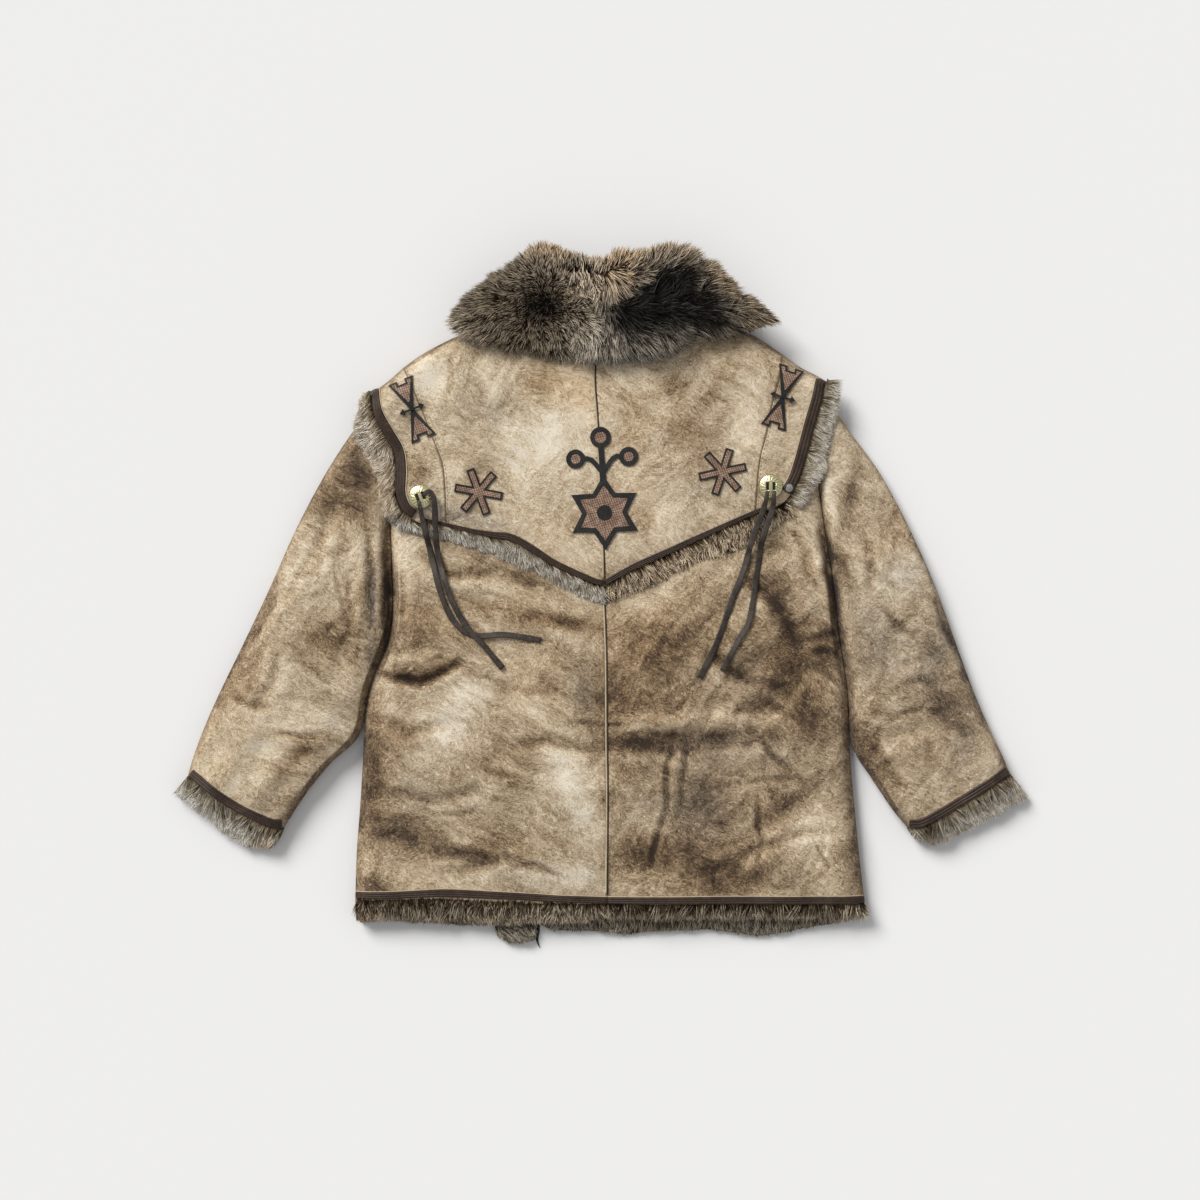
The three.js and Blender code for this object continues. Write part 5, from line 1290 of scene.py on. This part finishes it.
def blades(name, roots, aims, sags, widths, coats, finish, slot):
    """A piece made of tapering hairs: each goes from its root along its aim and bends by its sag."""
    count = len(roots)
    t = BLADE_AT[None, :, None]
    spine = roots[:, None] + aims[:, None] * t + sags[:, None] * t**2
    across = unit(np.cross(aims, (0.0, 0.0, 1.0)))
    lifted = unit(np.cross(across, aims))
    turn = dice.uniform(-WAYS_ROUND, WAYS_ROUND, count)[:, None]
    across = (across * np.cos(turn) + lifted * np.sin(turn)) * widths[:, None]
    edge = across[:, None] * BLADE_WIDTH[None, :, None]
    points = np.empty((count, BLADE_POINTS, 3))
    points[:, 0:6:2] = spine[:, :3] - edge
    points[:, 1:6:2] = spine[:, :3] + edge
    points[:, 6] = spine[:, 3]
    mesh = bpy.data.meshes.new(name)
    mesh.vertices.add(count * BLADE_POINTS)
    mesh.vertices.foreach_set("co", points.astype(np.float32).ravel())
    first = np.arange(count)[:, None]
    corners = BLADE_FACES[None] + first * BLADE_POINTS
    mesh.loops.add(corners.size)
    mesh.loops.foreach_set("vertex_index", corners.astype(np.int32).ravel())
    starts = FACE_STARTS[None] + first * len(BLADE_FACES)
    mesh.polygons.add(starts.size)
    mesh.polygons.foreach_set("loop_start", starts.astype(np.int32).ravel())
    mesh.update(calc_edges=True)
    mesh.shade_smooth()
    strand = np.zeros((count, BLADE_POINTS, 3))
    strand[:, :, 0] = BLADE_ALONG
    strand[:, :, 1] = dice.random(count)[:, None]
    strand[:, :, 2] = dice.random(count)[:, None]
    paint(mesh, "strand", strand.reshape(-1, 3))
    paint(mesh, "coat", np.repeat(coats, BLADE_POINTS, axis=0))
    return add_piece(name, mesh, finish)


def sown(mesh, count, steepest=0.1):
    """Random places on a mesh's upper faces, and which way each face looks."""
    mesh.calc_loop_triangles()
    corners = np.empty(len(mesh.loop_triangles) * 3, dtype=np.int32)
    mesh.loop_triangles.foreach_get("vertices", corners)
    a, b, c = points_of(mesh)[corners.reshape(-1, 3)].transpose(1, 0, 2)
    normal = np.cross(b - a, c - a)
    area = np.linalg.norm(normal, axis=1)
    share = area * (normal[:, 2] > steepest * area)
    pick = dice.choice(len(share), count, p=share / share.sum())
    u, v = dice.random((2, count))
    over = u + v > 1
    u[over], v[over] = 1 - u[over], 1 - v[over]
    return a[pick] + (b - a)[pick] * u[:, None] + (c - a)[pick] * v[:, None], unit(normal[pick])


def footprint(*nodes, cell=2 * MM):
    """A test for whether a place in plan lies over these nodes, by a fine grid."""
    tree = tree_of(*(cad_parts[node].data for node in nodes))
    lows, highs = zip(*(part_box(node) for node in nodes))
    low, high = np.min(lows, axis=0), np.max(highs, axis=0)
    xs, ys = (np.arange(low[k], high[k] + cell, cell) for k in (0, 1))
    grid = np.array([[top_of(tree, x, y, None) is not None for y in ys] for x in xs])

    def over(x, y):
        i, j = np.round((x - low[0]) / cell).astype(int), np.round((y - low[1]) / cell).astype(int)
        inside = (i >= 0) & (j >= 0) & (i < len(xs)) & (j < len(ys))
        return inside & grid[np.clip(i, 0, len(xs) - 1), np.clip(j, 0, len(ys) - 1)]

    return over


def room_ahead(over, x, y, dx, dy, furthest, cell=2 * MM):
    """How far each place can go its own way before it leaves a footprint."""
    room = np.zeros(len(x))
    going = np.ones(len(x), dtype=bool)
    for step in np.arange(cell, furthest + cell, cell):
        going &= over(x + dx * step, y + dy * step)
        room[going] = step
    return room


print("one hair has", len(FACE_STARTS), "faces")

# %% [markdown]
# The hairs' colour: dark at the root, which is painted shade deep in the pile, the coat's own colour
# in the middle, and a pale weathered tip, with some hairs paler than others. Along the jacket the coat
# changes as the hide does, from nearly black to grey or tan, and the three stored numbers say how
# dark, grey and warm it is.

# %% Fleece finish
def fleece_finish(name, root, body, tip, tick):
    recipe = Recipe(name)
    along, tone, other = recipe.channels("strand")
    dark, grey, warm = recipe.channels("coat")
    streak = recipe.noise(90, 4, 0.6)
    level = along * 0.7 + (tone - 0.5) * tick + (streak - 0.5) * 0.9 + 0.03
    # The ramp's dark root end paints the shade deep in the pile.
    colour = recipe.ramp(level, [
        (0.0, tint(*root)), (0.4, tint(*body)), (0.66, tint(*tip)),
        (0.95, tint(*(min(255, value * 1.16) for value in tip))),
    ])
    greyed = recipe.mix(grey, colour, recipe.ramp(level, [
        (0.0, tint(34, 32, 30)), (0.4, tint(104, 101, 95)), (0.66, tint(190, 188, 180)),
        (0.95, tint(238, 238, 230)),
    ]))
    warmed = recipe.mix(warm, greyed, tint(255, 214, 160), "MULTIPLY")
    shade = 1 - dark * (0.99 - 0.07 * other)
    deep = recipe.node("ShaderNodeCombineColor", {}, {0: shade, 1: shade, 2: shade})
    finished = recipe.mix(1.0, warmed, deep, "MULTIPLY")
    return recipe.finish(base_color=finished, roughness=0.75, specular_ior_level=0.05)


COLLAR_FLEECE = fleece_finish("collar_fleece", (15, 11, 8), (82, 62, 44), (216, 202, 178), 1.0)
FLEECE = fleece_finish("fleece", (34, 27, 20), (114, 98, 76), (218, 208, 188), 0.7)
PALE_FLEECE = fleece_finish("pale_fleece", (104, 90, 70), (184, 170, 145), (246, 240, 226), 0.5)

# %% [markdown]
# Each pelt is a thin cushion of the solid's own shape, a little smaller, with hairs sown all over it.
# The hairs follow a flow that is charted for each pelt, wander with smooth noise, and lean together
# in locks. None goes much past the solid's edge, so the outline stays the real one's.

# %% Pelts
def locks(x, y, size, seed):
    """The middle of the lock that each hair belongs to: one for each cell of a jittered grid."""
    i, j = np.floor(x / size).astype(int), np.floor(y / size).astype(int)
    jitter = np.random.default_rng(seed).random((LATTICE, LATTICE, 2))[i % LATTICE, j % LATTICE]
    return (i + 0.15 + 0.7 * jitter[:, 0]) * size, (j + 0.15 + 0.7 * jitter[:, 1]) * size


def shrunk(mesh, centre, plan, drop):
    """Draws a pelt in towards its centre in plan, and lets its top down, to leave room for hair."""
    points = points_of(mesh)
    points[:, :2] = centre + (points[:, :2] - centre) * plan
    low = points[:, 2].min()
    height = points[:, 2] - low
    points[:, 2] = low + height * (1 - drop / max(height.max(), drop))
    mesh.vertices.foreach_set("co", points.ravel())
    mesh.update()


def wandered(angle, x, y, lock, seed, broad, fine, chance):
    """Angles of hairs, turned by broad swirls, by finer ones and by chance."""
    angle = angle + (ripple(x, y, lock * 2.6, seed) - 0.5) * broad
    swirl = (ripple(x, y, lock * 0.8, seed + 1) - 0.5) * fine
    return angle + (swirl + dice.normal(0, chance, len(x)))


def grow(mesh, over, count, flow, length, lean, width, lock, past, coat, seed, steepest=0.1):
    """Hairs all over a pelt. flow, length, lean and coat are told the places, in millimetres."""
    roots, facing = sown(mesh, count, steepest)
    x, y = roots[:, 0] / MM, roots[:, 1] / MM
    angle = wandered(flow(x, y), x, y, lock, seed, 1.3, 1.4, 0.18)
    dx, dy = np.cos(angle), np.sin(angle)
    slope = -(dx * facing[:, 0] + dy * facing[:, 1]) / np.maximum(facing[:, 2], 0.1)
    climb = np.clip(slope, 0, 1.4)
    long = length(x, y) * MM * dice.uniform(0.72, 1.12, count)
    room = room_ahead(over, roots[:, 0], roots[:, 1], dx, dy, long.max()) + past * MM
    rise = lean(x, y) * dice.uniform(0.6, 1.3, count)
    plan = np.minimum(long * np.cos(rise), room * dice.uniform(0.8, 1.15, count))
    aims = np.column_stack([dx * plan, dy * plan, (np.sin(rise) + climb) * plan])
    middle_x, middle_y = locks(x, y, lock, seed + 2)
    tip_pull = 0.2 + 0.5 * dice.random(count)
    sags = np.column_stack([
        (middle_x - x) * MM * tip_pull, (middle_y - y) * MM * tip_pull,
        -(0.85 * np.sin(rise) + 0.6 * climb) * plan,
    ])
    roots[:, 2] -= 0.8 * MM
    widths = width * MM * dice.uniform(0.6, 1.2, count)
    return roots, aims, sags, widths, coat(x, y)


def fringe(ground, points, count, flow, length, band, coat, seed, lock=6, width=0.5):
    """Hairs that come out from under a strap's edge, in a narrow band on a line's right."""
    line = spline(points, 1.5)
    at = dice.random(count) * (len(line) - 1)
    near = at.astype(int)
    roots = line[near] + (line[near + 1] - line[near]) * (at - near)[:, None]
    roots = roots - sideways(line)[near] * dice.uniform(-1, band, count)[:, None] * MM
    x, y = roots.T / MM
    angle = wandered(np.radians(flow), x, y, lock, seed, 1.1, 0.9, 0.1)
    long = length * MM * dice.uniform(0.6, 1.1, count)
    plan = np.column_stack([np.cos(angle), np.sin(angle)]) * long[:, None]
    start = np.array([top_of(ground, *place) for place in roots]) - 0.3 * MM
    end = np.array([top_of(ground, *place, 1.5 * MM) for place in roots + plan])
    end = np.maximum(end, start - 0.5 * length * MM)
    arch = 0.22 * length * MM * dice.uniform(0.6, 1.4, count) + 0.9 * np.maximum(start - end, 0)
    drop = end + dice.uniform(0.4, 2.6, count) * MM - start
    middle_x, middle_y = locks(x, y, lock, seed + 2)
    pull = 0.4 * dice.random(count)
    sags = np.column_stack([(middle_x - x) * MM * pull, (middle_y - y) * MM * pull * 0.3, -arch])
    aims = np.column_stack([plan, drop + arch])
    widths = width * MM * dice.uniform(0.6, 1.2, count)
    return np.column_stack([roots, start]), aims, sags, widths, coat(x, y)


def steady(value):
    """A flow, length or lean that is the same everywhere."""
    return lambda x, y: np.full(len(x), value)


def joined(*groups):
    """Several lots of hairs as one."""
    return [np.concatenate(parts) for parts in zip(*groups)]


def pelt(node, finish, drop, centre=None, plan=(1.0, 1.0), levels=2):
    """The cushion under the hairs, which stands for the solid."""
    mesh = softened(node, levels)
    low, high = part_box(node)
    middle = np.array([(low[k] + high[k]) / 2 for k in (0, 1)]) if centre is None else centre * MM
    shrunk(mesh, middle, np.array(plan), drop * MM)
    points = points_of(mesh)
    # The cushion takes the colour of the hairs' dark roots: painted shade under the pile.
    paint(mesh, "strand", np.tile((0.12, 0.4, 0.5), (len(points), 1)))
    piece = add_piece("pelt_" + node, mesh, finish)
    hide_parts(node)
    return piece


# %% [markdown]
# The collar is two long-haired hides, turned down so that the pile shows. Its hair parts round a
# dark worn hollow on the left, stands up along the top and runs out to the right into a pointed end,
# with a black band between the roll and the fall.

# %% Collar
COLLAR_COATS = [
    # x, y, wide, long, turn, dark, grey, warm
    (-110, 350, 80, 60, 0, 0.19, -0.1, 0.14),
    (-68, 360, 36, 30, 0, 0.4, 0.0, 0.05),
    (-110, 372, 50, 40, 0, 0.06, 0.05, 0.0),
    (-90, 428, 26, 14, 0, -0.4, 0.0, 0.35),
    (-52, 418, 26, 10, 0, -0.4, 0.0, 0.35),
    (-16, 388, 20, 15, -46, -0.85, 0.2, 0.05),
    (-40, 374, 20, 10, 0, -0.2, 0.0, 0.2),
    (-12, 324, 28, 22, 0, -0.42, 0.35, 0.0),
    (-178, 340, 20, 14, 0, -0.8, 0.7, 0.0),
    (-150, 325, 26, 12, 0, -0.3, 0.3, 0.1),
    (-60, 300, 50, 10, 0, -0.05, 0.3, 0.0),
    (18, 402, 24, 20, 20, -0.36, 0.1, 0.3),
    (64, 414, 56, 14, 10, -0.24, 0.1, 0.25),
    (124, 404, 40, 22, -40, -0.14, 0.1, 0.2),
    (150, 372, 44, 16, -34, -0.1, 0.0, 0.25),
    (42, 362, 38, 22, 20, 0.8, 0.6, 0.0),
    (88, 364, 60, 24, -8, 0.8, 0.6, 0.0),
    (80, 384, 40, 10, 30, 0.6, 0.3, 0.0),
    (50, 338, 40, 12, 0, 0.25, 0.5, 0.0),
    (130, 344, 50, 10, -8, 0.25, 0.3, 0.1),
    (60, 312, 50, 16, 0, 0.06, 0.5, 0.0),
    (20, 300, 30, 14, 0, 0.02, 0.4, 0.0),
    (120, 322, 40, 12, 10, -0.1, 0.2, 0.2),
    (198, 342, 34, 10, -10, -0.3, 0.0, 0.3),
]
COLLAR_PLAIN = np.array([0.45, 0.08, 0.1])
COLLAR_CENTRE = np.array([2.0, 362.0])
COLLAR_PLAN = (0.93, 0.82)
COLLAR_HAIRS = 23000


def towards(x, y, from_x, from_y, weight):
    """A share of a flow that runs away from a point."""
    away = np.column_stack([x - from_x, y - from_y])
    return unit(away) * np.broadcast_to(weight, len(x))[:, None]


def collar_flow(x, y):
    upright = dice.random(len(x)) < smooth((y - 392) / 30)
    tuft = np.exp(-(((x + 14) / 26) ** 2) - ((y - 398) / 26) ** 2) * ~upright
    flow = towards(x, y, -64, 364, 1.0) + towards(x, y, -6, 440, 3.4 * tuft)
    flow[:, 1] -= 1.3 * np.exp(-(((x - 4) / 24) ** 2)) * smooth((400 - y) / 40)
    flow[:, 0] += 0.7 * smooth((x - 10) / 50)
    flow[:, 1] += 1.2 * upright
    return np.arctan2(flow[:, 1], flow[:, 0])


def from_hollow(x, y):
    return np.hypot(x + 66, y - 360)


def collar_length(x, y):
    return 9 + 20 * smooth((from_hollow(x, y) - 14) / 90) + 3 * smooth(x / 60)


def collar_lean(x, y):
    return 0.42 + 0.65 * smooth(1 - from_hollow(x, y) / 55)


def collar_coat(x, y):
    return clouds_at(x * MM, y * MM, COLLAR_COATS, COLLAR_PLAIN)


def dyed(piece, coat):
    """Gives a pelt the coat of the hairs that stand on it, a little darker, as painted shade under the hairs.
    """
    x, y, _ = points_of(piece.data).T / MM
    paint(piece.data, "coat", np.clip(coat(x, y) + (0.2, 0, 0), 0, 1))


# Where the two hides meet, more hairs hide the join: up along the top, and down below it.
JOINS = {
    # side: (flow in degrees, length, band, hairs, points)
    "left": (84, 18, 14, 900, [(-6, 394), (-6, 411)]),
    "right": (-84, 22, 14, 1500, [(9, 410), (10, 306)]),
}

collar_over = footprint("collar_left", "collar_right")
collars = {
    side: pelt(f"collar_{side}", COLLAR_FLEECE, 14, COLLAR_CENTRE, COLLAR_PLAN)
    for side in JOINS
}
collar_ground = tree_of(*(piece.data for piece in collars.values()))
for (side, piece), seed in zip(collars.items(), (41, 51)):
    dyed(piece, collar_coat)
    hair = grow(
        piece.data, collar_over, COLLAR_HAIRS, collar_flow, collar_length, collar_lean, 0.52, 10, 5,
        collar_coat, seed,
    )
    flow, length, band, count, join = JOINS[side]
    over_join = fringe(collar_ground, join, count, flow, length, band, collar_coat, seed + 5, 10)
    hairs = blades(f"hair_collar_{side}", *joined(hair, over_join), COLLAR_FLEECE, "collar_fur")
    print(f"collar {side}, hairs:", COLLAR_HAIRS + count)

# %% [markdown]
# Under it, on the surface, lies the other side of the collar, folded and thick. It only shows from
# beside and from above the neck.

# %% Under collar
def outward(x, y):
    return np.arctan2(y - 330, x)


piece = pelt("collar_under", COLLAR_FLEECE, 0)
dyed(piece, collar_coat)
hair = grow(
    piece.data, footprint("collar_under"), 4500, outward, steady(15), steady(0.3), 0.8, 9, 10,
    collar_coat, 47, steepest=-0.3,
)
hairs = blades("hair_collar_under", *hair, COLLAR_FLEECE, "collar_fur")
hairs.parent = piece
print("under collar points:", len(piece.data.vertices))

# %% [markdown]
# The pile that stands past the edges of the yoke, the hem and the cuffs is shorter and matted. Each
# strip has its own row: which way it flows, how long it is, how many hairs it has, and its coat.

# %% Pile along the edges
PILE = [
    # node, rests on, flow in degrees, length, hairs, past, finish, (dark, grey, warm)
    ("hem_fur_back", "hem_fur_front_left", -92, 26, 8500, 2, FLEECE, (0.42, 0.1, 0.25)),
    ("hem_fur_front_left", "floor", -90, 24, 3000, 1, FLEECE, (0.56, 0.2, 0.15)),
    # This front strip lies under the back hem's pile, and its darker coat paints the shade that falls on it.
    ("hem_fur_front_right", "floor", -88, 26, 6000, 1, FLEECE, (0.52, 0.2, 0.15)),
    ("front_corner_fur", "floor", -84, 20, 3000, 1, FLEECE, (0.45, 0.3, 0.1)),
    ("cuff_fur_left", "floor", -112, 28, 4800, 1, PALE_FLEECE, (0.12, 0.35, 0.05)),
    ("cuff_fur_right", "floor", -62, 28, 4800, 1, PALE_FLEECE, (0.16, 0.25, 0.1)),
    ("yoke_fur_side_left", "sleeve_left_upper", -138, 20, 3400, 2, PALE_FLEECE, (0.2, 0.15, 0.2)),
    ("yoke_fur_side_right", "sleeve_right_upper", -30, 20, 3400, 2, PALE_FLEECE, (0.16, 0.25, 0.1)),
    ("yoke_fur_edge_left", "back_left", -68, 16, 3400, 2, PALE_FLEECE, (0.22, 0.25, 0.05)),
    ("yoke_fur_edge_right", "back_right", -66, 16, 3400, 2, FLEECE, (0.12, 0.1, 0.35)),
]
FRINGES = [
    # strip of pile, strap that it comes out under, flow in degrees, length, band, hairs
    ("hem_fur_back", "hem_binding_left", -94, 27, 4, 4000),
    ("hem_fur_back", "hem_binding_right", -88, 24, 3, 3200),
    ("cuff_fur_left", "cuff_binding_left", -112, 27, 3, 2200),
    ("cuff_fur_right", "cuff_binding_right", -62, 27, 3, 2200),
    ("yoke_fur_side_left", "yoke_binding_left", -138, 21, 3, 2200),
    ("yoke_fur_side_right", "yoke_binding_right", -30, 21, 3, 2200),
    ("yoke_fur_edge_left", "yoke_binding_edge_left", -66, 15, 3, 2500),
    ("yoke_fur_edge_right", "yoke_binding_edge_right", -66, 15, 3, 2200),
]
PILE_COATS = [
    # x, y, wide, long, turn, dark, grey, warm
    (-290, -400, 24, 16, 0, -0.1, 0.0, 0.2),
    (-210, -396, 34, 12, 0, 0.12, 0.0, 0.1),
    (-60, -400, 30, 14, 0, -0.1, 0.2, 0.0),
    (60, -400, 40, 14, 0, 0.14, 0.0, 0.1),
    (190, -400, 40, 14, 0, 0.1, 0.1, 0.0),
    (322, -396, 24, 14, 0, -0.5, 0.3, 0.0),
    (-160, 66, 30, 8, -14, -0.2, 0.3, 0.0),
    (-60, 30, 40, 8, -24, 0.2, 0.0, 0.1),
    (-255, 96, 20, 8, 0, -0.3, 0.5, -0.2),
    (409, -284, 14, 14, 0, 0.5, 0.0, 0.2),
    (-415, -300, 14, 16, 0, 0.1, 0.0, 0.4),
    (-285, 205, 16, 40, 10, -0.2, 0.3, 0.0),
    (-270, 140, 14, 34, 10, -0.05, 0.0, 0.35),
    (264, 128, 14, 16, 0, 0.45, 0.1, 0.1),
    (290, 225, 16, 36, 0, -0.25, 0.4, 0.0),
]


def pile_coat(plain):
    return lambda x, y: clouds_at(x * MM, y * MM, PILE_COATS, np.array(plain))


def pile_slot(node):
    return "dark_fur" if node in ("hem_fur_front_right", "front_corner_fur") else "fur"


PILE_LEAN = 0.36
pelts = {}
for node, *_, finish, plain in PILE:
    pelts[node] = pelt(node, finish, 2.5)
    dyed(pelts[node], pile_coat(plain))
laid_on = tree_of(*(piece.data for piece in [*pelts.values(), *panels.values()]))
for row, (node, under, flow, length, count, past, finish, plain) in enumerate(PILE):
    piece, coat = pelts[node], pile_coat(plain)
    hair = [grow(
        piece.data, footprint(node), count, steady(np.radians(flow)), steady(length),
        steady(PILE_LEAN), 0.6, 8, past, coat, 60 + 3 * row,
    )]
    for strip, binding, heading, long, band, more in FRINGES:
        if strip == node:
            hair.append(fringe(laid_on, EDGES[binding], more, heading, long, band, coat, 90 + row))
    hairs = blades(f"hair_{node}", *joined(*hair), finish, pile_slot(node))
print("strips of pile:", len(PILE))

# %% Finish
shown = [o for o in bpy.data.objects if o.type == "MESH" and not o.hide_render]
triangles = {o.name: sum(len(face.vertices) - 2 for face in o.data.polygons) for o in shown}
largest = max(triangles, key=triangles.get)
print("triangles:", sum(triangles.values()), "largest:", largest, triangles[largest])
